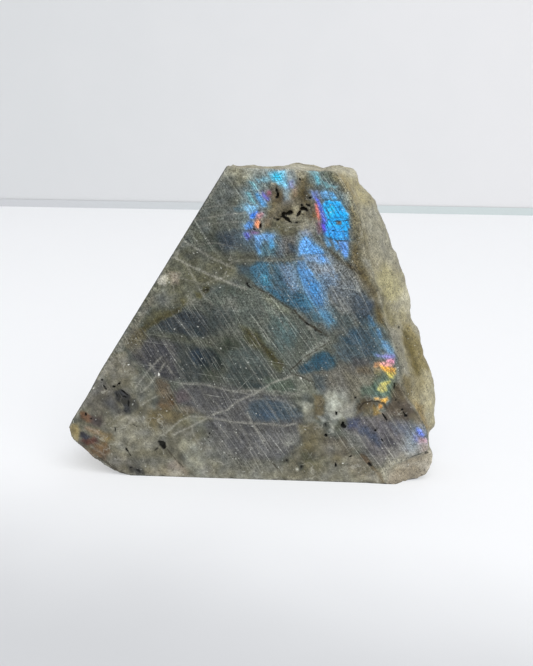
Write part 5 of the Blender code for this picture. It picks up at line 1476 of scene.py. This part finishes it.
class NodeBench:
    """Short ways to place shader nodes in one tree."""

    def __init__(self, tree: bpy.types.NodeTree) -> None:
        """Takes the tree that the nodes go in."""
        self.tree = tree

    def fill(self, socket: Socket, value: object) -> None:
        """Links a socket to an input, or sets the input's own value.

        Args:
            socket: The input.
            value: The socket or the value that it takes.
        """
        if isinstance(value, Socket):
            self.tree.links.new(value, socket)
        else:
            socket.default_value = value

    def node(
        self, kind: str, inputs: dict[str | int, object] | None = None, **settings: object,
    ) -> bpy.types.Node:
        """Adds a node.

        Args:
            kind: The node's type.
            inputs: A value or a socket for each input, by name or number.
            settings: The node's own properties.

        Returns:
            The node.
        """
        node = self.tree.nodes.new(kind)
        for key, value in settings.items():
            setattr(node, key, value)
        for key, value in (inputs or {}).items():
            self.fill(node.inputs[key], value)
        return node

    def math(self, operation: str, a: object, b: object) -> Socket:
        """The result of a sum on two values."""
        return self.node("ShaderNodeMath", {0: a, 1: b}, operation=operation).outputs[0]

    def times(self, *values: object) -> Socket:
        """All the values multiplied.

        Args:
            values: Values or sockets.

        Returns:
            Their product.
        """
        product = values[0]
        for value in values[1:]:
            product = self.math("MULTIPLY", product, value)
        return product

    def largest(self, *values: Socket) -> Socket:
        """The largest of the values.

        Args:
            values: The sockets.

        Returns:
            The largest of them.
        """
        top = values[0]
        for value in values[1:]:
            top = self.math("MAXIMUM", top, value)
        return top

    def ramp(self, value: object, start: float, end: float, low: object = 0.0, high: object = 1.0) -> Socket:
        """A value carried smoothly from the range start to end to the range low to high.

        Args:
            value: The value.
            start: Where the first range starts. It may be above the end.
            end: Where the first range ends.
            low: The result up to the start.
            high: The result past the end.

        Returns:
            The result.
        """
        inputs = {"Value": value, "From Min": start, "From Max": end, "To Min": low, "To Max": high}
        return self.node("ShaderNodeMapRange", inputs, interpolation_type="SMOOTHSTEP").outputs["Result"]

    def between(self, mask: Socket, values: tuple[object, object]) -> Socket:
        """The first value where the mask is 0, and the second where it is 1."""
        return self.ramp(mask, 0.0, 1.0, *values)

    def swing(self, value: Socket, amount: object) -> Socket:
        """A noise value turned into a factor that swings about 1 by an amount."""
        centred = self.ramp(value, 0.25, 0.75, -1.0, 1.0)
        return self.math("ADD", self.times(centred, amount), 1.0)

    def mix(self, share: object, a: object, b: object, blend: str = "MIX") -> Socket:
        """Two colours mixed."""
        node = self.node("ShaderNodeMix", {0: share, 6: a, 7: b}, data_type="RGBA", blend_type=blend)
        return node.outputs[2]

    def tinted(self, colour: Socket, share: Socket, tint: Colour) -> Socket:
        """A colour with a tint laid over it by a share."""
        return self.mix(share, colour, rgba(tint))

    def scaled(self, colour: object, factor: object) -> Socket:
        """A colour made lighter or darker by a factor."""
        shade = self.node("ShaderNodeCombineColor", {"Red": factor, "Green": factor, "Blue": factor})
        return self.mix(1.0, colour, shade.outputs[0], "MULTIPLY")

    def noise(self, place: Socket, size_mm: float, detail: float = 2.0, rough: float = 0.5) -> Socket:
        """Noise with forms of this size."""
        inputs = {"Vector": place, "Scale": 1.0 / (size_mm * MM), "Detail": detail, "Roughness": rough}
        return self.node("ShaderNodeTexNoise", inputs).outputs["Fac"]

    def vector(self, operation: str, inputs: dict[str | int, object]) -> Socket:
        """The result of a sum on places, a place itself or a plain value."""
        node = self.node("ShaderNodeVectorMath", inputs, operation=operation)
        return node.outputs["Value" if operation == "DOT_PRODUCT" else "Vector"]

    def first_of(self, colour: Socket) -> Socket:
        """The first channel of a cell's colour, a random value for each cell."""
        return self.node("ShaderNodeSeparateColor", {"Color": colour}).outputs["Red"]

    def attribute(self, layer: Layer, output: str = "Fac") -> Socket:
        """What a painted layer holds."""
        return self.node("ShaderNodeAttribute", attribute_name=layer.value).outputs[output]


class GrainBench(NodeBench):
    """Builds the node group for the stone's grain. All sizes are mm."""

    def __init__(self) -> None:
        """Makes the group with its input, and the place shifted unevenly, which bends the grains."""
        super().__init__(bpy.data.node_groups.new("stone_grain", "ShaderNodeTree"))
        self.tree.interface.new_socket("Place", in_out="INPUT", socket_type="NodeSocketVector")
        self.place = self.node("NodeGroupInput").outputs["Place"]
        inputs = {"Vector": self.place, "Scale": 1.0 / (1.5 * MM), "Detail": 2.0}
        cloud = self.node("ShaderNodeTexNoise", inputs).outputs["Color"]
        centred = self.vector("SUBTRACT", {0: cloud, 1: (0.5, 0.5, 0.5)})
        shift = self.vector("SCALE", {0: centred, "Scale": 1.6 * MM})
        self.bent = self.vector("ADD", {0: self.place, 1: shift})

    def group(self) -> bpy.types.NodeTree:
        """Fills the group.

        Returns:
            The group, which takes a place and puts out a value for each kind of grain.
        """
        inputs = {"Vector": self.bent, "Scale": 1.0 / (1.9 * MM)}
        cells = self.node("ShaderNodeTexVoronoi", inputs, feature="DISTANCE_TO_EDGE")
        saw = self.largest(*(self.scratches(lines) for lines in SAW_SCRATCHES))
        small_specks = self.times(self.dots(self.bent, 0.6, 0.42, 0.5), 0.9)
        results = {
            Grain.MOTTLE: self.noise(self.place, 1.5, 4.0, 0.62),
            Grain.FINE: self.noise(self.place, 0.38, 3.0, 0.85),
            Grain.STREAK: self.streaks(SAW_SLOPE, 0.4),
            Grain.HATCH: self.streaks(HATCH_SLOPE, 0.42),
            Grain.SCRATCH: self.times(saw, self.ramp(self.noise(self.place, 11.0), 0.36, 0.6, 0.35, 1.1)),
            Grain.HAIR: self.largest(*(self.scratches(lines) for lines in HAIR_CRACKS)),
            Grain.EDGE: self.ramp(cells.outputs["Distance"], 0.09, 0.0),
            Grain.SPECK: self.largest(self.dots(self.place, 0.8, 0.28, 0.54), small_specks),
            Grain.FLECK: self.dots(self.bent, 0.95, 0.22, 0.74),
            Grain.VEIN: self.veins(7.5, 0.016),
            Grain.PIT: self.dots(self.bent, 2.4, 0.13, 0.5),
        }
        out = self.node("NodeGroupOutput")
        for grain, socket in results.items():
            self.tree.interface.new_socket(grain.value, in_out="OUTPUT", socket_type="NodeSocketFloat")
            self.fill(out.inputs[grain.value], socket)
        return self.tree

    def turned(self, slope: float) -> Socket:
        """The place turned so that its x runs down to the right at a slope, in degrees."""
        inputs = {"Vector": self.place, "Rotation": (0.0, math.radians(-slope), 0.0)}
        return self.node("ShaderNodeMapping", inputs).outputs[0]

    def streaks(self, slope: float, size: float) -> Socket:
        """Noise drawn out into long lines of this width, along a slope."""
        inputs = {"Vector": self.turned(slope), "Scale": (0.06, 1.0, 1.0)}
        return self.noise(self.node("ShaderNodeMapping", inputs).outputs[0], size, 2.0, 0.65)

    def scratches(self, lines: Scratches) -> Socket:
        """Thin straight lines, each broken along its length and of its own strength.

        Args:
            lines: The family of lines.

        Returns:
            The lines' mask.
        """
        axes = self.node("ShaderNodeSeparateXYZ", {0: self.turned(lines.slope)}).outputs
        inputs = {"W": axes["Z"], "Scale": 1.0 / (lines.spacing * MM)}
        cells = self.node("ShaderNodeTexVoronoi", inputs, voronoi_dimensions="1D").outputs
        pick = self.first_of(cells["Color"])
        along = {"X": self.times(axes["X"], 1.0 / (lines.length * MM)), "Y": self.times(pick, 50.0)}
        run = self.node("ShaderNodeCombineXYZ", along).outputs[0]
        breaks = self.node("ShaderNodeTexNoise", {"Vector": run, "Scale": 1.0, "Detail": 1.0}).outputs["Fac"]
        half = 0.5 * lines.width / lines.spacing
        line = self.ramp(cells["Distance"], half, 0.3 * half)
        shown = self.ramp(breaks, lines.rare, lines.rare + 0.1)
        return self.times(line, shown, self.between(pick, (0.4, 1.0)))

    def dots(self, place: Socket, size: float, width: float, rare: float) -> Socket:
        """Small scattered dots.

        Args:
            place: The place on the stone.
            size: How far apart they could be.
            width: Each dot's half width as a share of that.
            rare: The share of the places that have none.

        Returns:
            The dots' mask, 1 in each middle.
        """
        cells = self.node("ShaderNodeTexVoronoi", {"Vector": place, "Scale": 1.0 / (size * MM)}).outputs
        chosen = self.ramp(self.first_of(cells["Color"]), rare, rare + 0.1)
        return self.times(self.ramp(cells["Distance"], width, 0.4 * width), chosen)

    def veins(self, size: float, width: float) -> Socket:
        """Thin curved pale veins, where a noise is close to its middle value.

        Args:
            size: The size of the noise's forms.
            width: How close the noise has to be.

        Returns:
            The veins' mask.
        """
        centred = self.math("SUBTRACT", self.noise(self.bent, size, 3.0, 0.6), 0.5)
        breaks = self.ramp(self.noise(self.bent, 0.7 * size), 0.5, 0.62)
        return self.times(self.ramp(self.math("ABSOLUTE", centred, 0.0), width, 0.0), breaks)


@dataclass(frozen=True)
class LabradoriteFinish:
    """The look of the stone: colours from its painted layers, broken up by grain and the saw.

    In a pair with _by_grain in its name the first value is for plain stone and the second for
    grainy stone. With _by_crust they are for the sawn sides and the crust, and with _by_flash for
    plain stone and the full flash.
    """

    name: str = "labradorite"
    edge_brown: Colour = (52, 50, 40)
    speck_black: Colour = (38, 37, 32)
    vein_white: Colour = (176, 174, 162)
    hair_black: Colour = (46, 48, 46)
    pit_brown: Colour = (52, 46, 34)
    flash_hair: Colour = (32, 58, 84)
    flash_speck: Colour = (24, 44, 66)
    scratch_white: Colour = (168, 169, 160)
    line_white: Colour = (178, 176, 164)
    glint_fleck_white: Colour = (206, 208, 200)
    crack_brown: Colour = (44, 38, 26)
    inclusion_black: Colour = (12, 12, 11)
    sparkle_white: Colour = (232, 232, 224)
    crisp_heights: Pair = (0.018, 0.058)
    crisp_low_and_high: Pair = (0.72, 1.6)
    streaked_by_grain: Pair = (1.0, 0.25)
    mottle_by_grain: Pair = (0.14, 0.22)
    fine_by_grain: Pair = (1.0, 0.66)
    fine_by_crust: Pair = (0.62, 0.5)
    streak_by_crust: Pair = (0.36, 0.16)
    hatch_swing: float = 0.14
    edge_by_grain: Pair = (0.04, 0.18)
    edge_by_crust: Pair = (1.0, 0.4)
    speck_by_grain: Pair = (0.7, 0.34)
    vein_by_grain: Pair = (0.1, 0.4)
    glint_fleck_by_grain: Pair = (0.55, 0.4)
    hair_share: float = 0.3
    pit_share: float = 0.75
    line_share: float = 0.72
    lines_by_flash: Pair = (1.0, 0.6)
    scratch_gain: float = 2.3
    flash_share: float = 0.96
    flash_gain: float = 1.1
    flash_gaps: float = 0.28
    flash_hairs: float = 0.84
    flash_specks: float = 0.68
    crack_share: float = 0.88
    inclusion_share: float = 0.96
    sparkle_share: float = 0.9
    flash_metal: float = 0.25
    rough_by_crust: Pair = (0.42, 0.55)
    fine_rough: Pair = (-0.08, 0.1)
    fine_height_by_crust: Pair = (0.4, 0.9)
    streak_height: float = 0.35
    line_depth: float = 0.4
    bump_strength: float = 0.6
    bump_depth_mm: float = 0.14
    gloss: float = 0.18
    bending: float = 1.56

    def material(self) -> bpy.types.Material:
        """Builds the stone's material.

        Returns:
            The material.
        """
        material = bpy.data.materials.new(self.name)
        material.use_nodes = True
        material.node_tree.nodes.clear()
        StoneBench(material.node_tree, self).build()
        return material


class StoneBench(NodeBench):
    """Builds the nodes of the stone's material."""

    def __init__(self, tree: bpy.types.NodeTree, look: LabradoriteFinish) -> None:
        """Places the grain, and the masks that most steps use.

        Args:
            tree: The tree that the nodes go in.
            look: The colours and amounts.
        """
        super().__init__(tree)
        self.look = look
        place = self.node("ShaderNodeTexCoord").outputs["Object"]
        group = self.node("ShaderNodeGroup", node_tree=GrainBench().group())
        self.fill(group.inputs["Place"], place)
        self.grain = {kind: group.outputs[kind.value] for kind in Grain}
        self.crust, self.grainy = self.attribute(Layer.CRUST), self.attribute(Layer.GRAINY)
        self.dots = self.attribute(Layer.INCLUSION)
        self.sawn = self.math("SUBTRACT", 1.0, self.crust)
        self.streaked = self.times(self.sawn, self.between(self.grainy, look.streaked_by_grain))
        height = self.node("ShaderNodeSeparateXYZ", {0: place}).outputs["Z"]
        self.crisp = self.ramp(height, *look.crisp_heights, *look.crisp_low_and_high)
        worn = self.ramp(self.grain[Grain.FINE], 0.34, 0.6, 0.25, 1.0)
        self.lines = self.times(self.attribute(Layer.PALE_LINE), worn, look.line_share)
        self.saw = self.times(self.grain[Grain.SCRATCH], self.streaked, worn)
        gap = self.largest(
            self.ramp(self.grain[Grain.STREAK], 0.56, 0.36),
            self.ramp(self.grain[Grain.HATCH], 0.5, 0.34),
            self.ramp(self.grain[Grain.FINE], 0.5, 0.3),
        )
        clear = self.math("SUBTRACT", 1.0, self.times(gap, look.flash_gaps))
        self.flash = self.times(self.attribute(Layer.FLASH, "Alpha"), clear)

    def build(self) -> None:
        """Builds the colour from the stone upwards, and the surface under it."""
        dark_metal = self.ramp(self.dots, 0.45, 0.95)
        shader = self.node("ShaderNodeBsdfPrincipled", {
            "Base Color": self.with_marks(self.with_lines(self.with_flash(self.plain_stone()))),
            "Roughness": self.roughness(),
            "Metallic": self.largest(self.times(self.flash, self.look.flash_metal), dark_metal),
            "Normal": self.bump(),
            "Specular IOR Level": self.look.gloss,
            "IOR": self.look.bending,
        })
        self.node("ShaderNodeOutputMaterial", {"Surface": shader.outputs[0]})

    def plain_stone(self) -> Socket:
        """The stone's painted colour, broken up by its grain, specks, veins and hair cracks.

        Returns:
            The colour.
        """
        look, grain = self.look, self.grain
        fine, fine_on_crust = look.fine_by_crust
        fine = self.between(self.crust, (self.times(self.crisp, fine), fine_on_crust))
        streak, streak_on_crust = look.streak_by_crust
        streak = self.between(self.crust, (self.times(self.streaked, streak), streak_on_crust))
        light = self.times(
            self.swing(grain[Grain.MOTTLE], self.between(self.grainy, look.mottle_by_grain)),
            self.swing(grain[Grain.FINE], self.times(fine, self.between(self.grainy, look.fine_by_grain))),
            self.swing(grain[Grain.STREAK], streak),
            self.swing(grain[Grain.HATCH], self.times(self.streaked, look.hatch_swing)),
        )
        colour = self.scaled(self.attribute(Layer.TONE, "Color"), light)
        edge = self.times(grain[Grain.EDGE], self.between(self.grainy, look.edge_by_grain),
                          self.between(self.crust, look.edge_by_crust))
        colour = self.tinted(colour, edge, look.edge_brown)
        speck = self.times(grain[Grain.SPECK], self.between(self.grainy, look.speck_by_grain))
        colour = self.tinted(colour, speck, look.speck_black)
        vein = self.times(grain[Grain.VEIN], self.sawn, self.between(self.grainy, look.vein_by_grain))
        colour = self.tinted(colour, vein, look.vein_white)
        hair = self.times(grain[Grain.HAIR], self.streaked, self.times(self.crisp, look.hair_share))
        colour = self.tinted(colour, hair, look.hair_black)
        return self.tinted(colour, self.times(grain[Grain.PIT], self.crust, look.pit_share), look.pit_brown)

    def with_flash(self, colour: Socket) -> Socket:
        """The colour with the flash laid over it.

        Args:
            colour: The colour under it.

        Returns:
            The new colour.
        """
        look, grain = self.look, self.grain
        glow = self.times(self.swing(grain[Grain.FINE], 0.64), self.swing(grain[Grain.STREAK], 0.44),
                          self.swing(grain[Grain.MOTTLE], 0.12))
        shine = self.scaled(self.attribute(Layer.FLASH, "Color"), self.times(glow, look.flash_gain))
        colour = self.mix(self.times(self.flash, look.flash_share), colour, shine)
        hair = self.times(grain[Grain.HAIR], self.flash, look.flash_hairs)
        return self.tinted(colour, hair, look.flash_hair)

    def with_lines(self, colour: Socket) -> Socket:
        """The colour with the pale lines over it, and the specks and the painted glints that cross them.

        Args:
            colour: The colour under them.

        Returns:
            The new colour.
        """
        look, grain = self.look, self.grain
        shown = self.between(self.flash, look.lines_by_flash)
        scratched = self.mix(0.5, self.scaled(colour, look.scratch_gain), rgba(look.scratch_white))
        colour = self.mix(self.times(self.saw, shown), colour, scratched)
        colour = self.tinted(colour, self.times(self.lines, shown), look.line_white)
        speck = self.times(grain[Grain.SPECK], self.flash, look.flash_specks)
        colour = self.tinted(colour, speck, look.flash_speck)
        # Pale flecks are painted glints: tiny bright points of light laid into the colour.
        glint_fleck = self.times(grain[Grain.FLECK], self.between(self.grainy, look.glint_fleck_by_grain))
        return self.tinted(colour, glint_fleck, look.glint_fleck_white)

    def with_marks(self, colour: Socket) -> Socket:
        """The colour with the cracks, the inclusions and the painted highlights of bright facets over it.

        Args:
            colour: The colour under them.

        Returns:
            The new colour.
        """
        look = self.look
        crack = self.times(self.ramp(self.attribute(Layer.DARK_LINE), 0.12, 0.7), look.crack_share)
        colour = self.tinted(colour, crack, look.crack_brown)
        inclusion = self.times(self.ramp(self.dots, 0.15, 0.75), look.inclusion_share)
        colour = self.tinted(colour, inclusion, look.inclusion_black)
        # The sparkles are painted highlights: near-white dots laid into the colour.
        sparkle = self.times(self.ramp(self.attribute(Layer.SPARKLE), 0.55, 0.95), look.sparkle_share)
        return self.tinted(colour, sparkle, look.sparkle_white)

    def roughness(self) -> Socket:
        """How rough the stone is, with the fine grain in it."""
        uneven = self.ramp(self.grain[Grain.FINE], 0.2, 0.8, *self.look.fine_rough)
        return self.math("ADD", self.between(self.crust, self.look.rough_by_crust), uneven)

    def bump(self) -> Socket:
        """The normal, with the relief that is too fine for the skin's points.

        Returns:
            The bumped normal.
        """
        look = self.look
        fine = self.times(self.grain[Grain.FINE], self.between(self.crust, look.fine_height_by_crust))
        streaks = self.times(self.grain[Grain.STREAK], self.streaked, look.streak_height)
        pale = self.times(self.largest(self.lines, self.times(self.saw, 0.7)), look.line_depth)
        height = self.math("SUBTRACT", self.math("ADD", fine, streaks), pale)
        inputs = {"Height": height, "Strength": look.bump_strength, "Distance": look.bump_depth_mm * MM}
        return self.node("ShaderNodeBump", inputs).outputs[0]


@dataclass(frozen=True)
class PlainFinish:
    """A plain matt surface for the floor or the backdrop, with painted light: a little lighter on one side.

    The tints are linear. The painted lighter side comes on unevenly along a direction, from a start to an
    end.
    """

    name: str
    shaded_tint: Triple
    lit_tint: Triple
    direction: Triple
    start: float
    end: float
    # A glow of painted light: the surface gives off light of its own.
    glow: float = 0.0
    roughness: float = 0.8

    def material(self) -> bpy.types.Material:
        """Builds the material.

        Returns:
            The material.
        """
        material = bpy.data.materials.new(self.name)
        material.use_nodes = True
        bench = NodeBench(material.node_tree)
        place = bench.node("ShaderNodeTexCoord").outputs["Object"]
        # Painted light: the tint goes from shaded to lit along the direction, shifted by a large soft cloud
        # so that it falls unevenly.
        along = bench.vector("DOT_PRODUCT", {0: place, 1: self.direction})
        cloud = bench.math("SUBTRACT", bench.noise(place, 60.0), 0.5)
        uneven = bench.times(cloud, 0.3 * (self.end - self.start))
        share = bench.ramp(bench.math("ADD", along, uneven), self.start, self.end)
        colour = bench.mix(share, (*self.shaded_tint, 1.0), (*self.lit_tint, 1.0))
        inputs = {"Base Color": colour, "Roughness": self.roughness, "Specular IOR Level": 0.0}
        # The glow is painted light: the surface gives off light of its own, which lifts the shadow round the
        # stone.
        if self.glow:
            inputs |= {"Emission Color": colour, "Emission Strength": self.glow}
        shader = material.node_tree.nodes["Principled BSDF"]
        for name, value in inputs.items():
            bench.fill(shader.inputs[name], value)
        return material


# Painted light on the floor: darker towards the front and the left, lighter behind the stone, and a glow of
# its own that lifts the stone's shadow.
FLOOR_FINISH = PlainFinish(
    "pale_floor", (0.348, 0.353, 0.363), (0.51, 0.515, 0.525), (0.3, 0.95, 0.0), -0.1, -0.02, 0.8,
)
# Painted light on the backdrop and the floor's edge: a little lighter towards the right.
EDGE_FINISH = PlainFinish("floor_edge", (0.62, 0.63, 0.65), (0.6, 0.66, 0.66), (1.0, 0.0, 0.0), -0.3, 0.2)
WALL_FINISH = PlainFinish("pale_wall", (0.69, 0.7, 0.71), (0.78, 0.775, 0.785), (1.0, 0.0, 0.0), -0.4, 0.4)


@dataclass
class Studio:
    """The pale floor, the backdrop, the soft light and the camera. Lengths are metres."""

    half_width: float = 3.0
    floor_front: float = -3.0
    floor_back: float = 0.689
    edge_height: float = 0.0072
    edge_gap: float = 0.001
    backdrop_bottom: float = -0.2
    backdrop_top: float = 2.4
    sky_tint: Triple = (0.97, 0.985, 1.0)
    sky_light: float = 0.62
    key_place: Triple = (0.35, -0.95, 1.0)
    key_target: Triple = (0.0, 0.0, 0.03)
    key_size: float = 1.5
    key_power: float = 17.0
    clip_start: float = 0.01

    def build(self) -> None:
        """Makes the floor, the backdrop, the light and the camera."""
        back = self.floor_back
        edge_y = back - self.edge_gap
        self.sheet("floor", (self.floor_front, 0.0), (back, 0.0), FLOOR_FINISH)
        self.sheet("floor_edge", (edge_y, 0.0), (edge_y, self.edge_height), EDGE_FINISH)
        self.sheet("backdrop", (back, self.backdrop_bottom), (back, self.backdrop_top), WALL_FINISH)
        self.light()
        self.camera()
        bpy.context.scene.view_settings.view_transform = "Standard"

    def sheet(self, name: str, start: Pair, end: Pair, finish: PlainFinish) -> None:
        """Makes a flat sheet across the studio, level or upright, that isn't part of the object.

        Args:
            name: Its name.
            start: The y and z of its front or lower edge.
            end: The y and z of its back or upper edge.
            finish: Its finish.
        """
        (start_y, start_z), (end_y, end_z) = start, end
        middle = (0.0, (start_y + end_y) / 2.0, (start_z + end_z) / 2.0)
        upright = start_y == end_y
        length = end_z - start_z if upright else end_y - start_y
        turn = (math.radians(90.0) if upright else 0.0, 0.0, 0.0)
        bpy.ops.object.select_all(action="DESELECT")
        bpy.ops.mesh.primitive_plane_add(size=1.0, location=middle, rotation=turn)
        sheet = bpy.context.object
        sheet.name = sheet.data.name = name
        sheet.scale = (2.0 * self.half_width, length, 1.0)
        bpy.ops.object.transform_apply(location=True, rotation=True, scale=True)
        sheet.data.materials.append(finish.material())

    def light(self) -> None:
        """Makes the even daylight and one large soft lamp."""
        world = bpy.data.worlds.new("soft_daylight")
        world.use_nodes = True
        background = world.node_tree.nodes["Background"]
        background.inputs["Color"].default_value = (*self.sky_tint, 1.0)
        background.inputs["Strength"].default_value = self.sky_light
        bpy.context.scene.world = world
        key = bpy.data.lights.new("soft_key", "AREA")
        key.shape = "DISK"
        key.size = self.key_size
        key.energy = self.key_power
        lamp = bpy.data.objects.new("soft_key", key)
        lamp.location = self.key_place
        towards = Vector(self.key_target) - lamp.location
        lamp.rotation_euler = towards.to_track_quat("-Z", "Y").to_euler()
        bpy.context.scene.collection.objects.link(lamp)

    def camera(self) -> None:
        """Makes the camera, at the photographer's eye."""
        eye = Viewpoint()
        camera = bpy.data.cameras.new("camera")
        camera.lens = eye.lens_mm
        camera.sensor_width = eye.sensor_mm
        camera.clip_start = self.clip_start
        holder = bpy.data.objects.new("camera", camera)
        holder.matrix_world = eye.matrix()
        bpy.context.scene.collection.objects.link(holder)
        bpy.context.scene.camera = holder


def main() -> None:
    """Builds the studio and the stone, puts the stone under its body and hides the imported solid."""
    logging.basicConfig(level=logging.INFO, format="%(name)s: %(message)s")
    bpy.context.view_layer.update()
    Studio().build()
    LOG.info("studio: floor, backdrop, light and camera")
    stone = StoneSkin().build()
    stone.data.materials.append(LabradoriteFinish().material())
    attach(stone, BODY)
    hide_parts(NODE)
    LOG.info("stone: %s", stone.name)


if __name__ == "__main__":
    main()
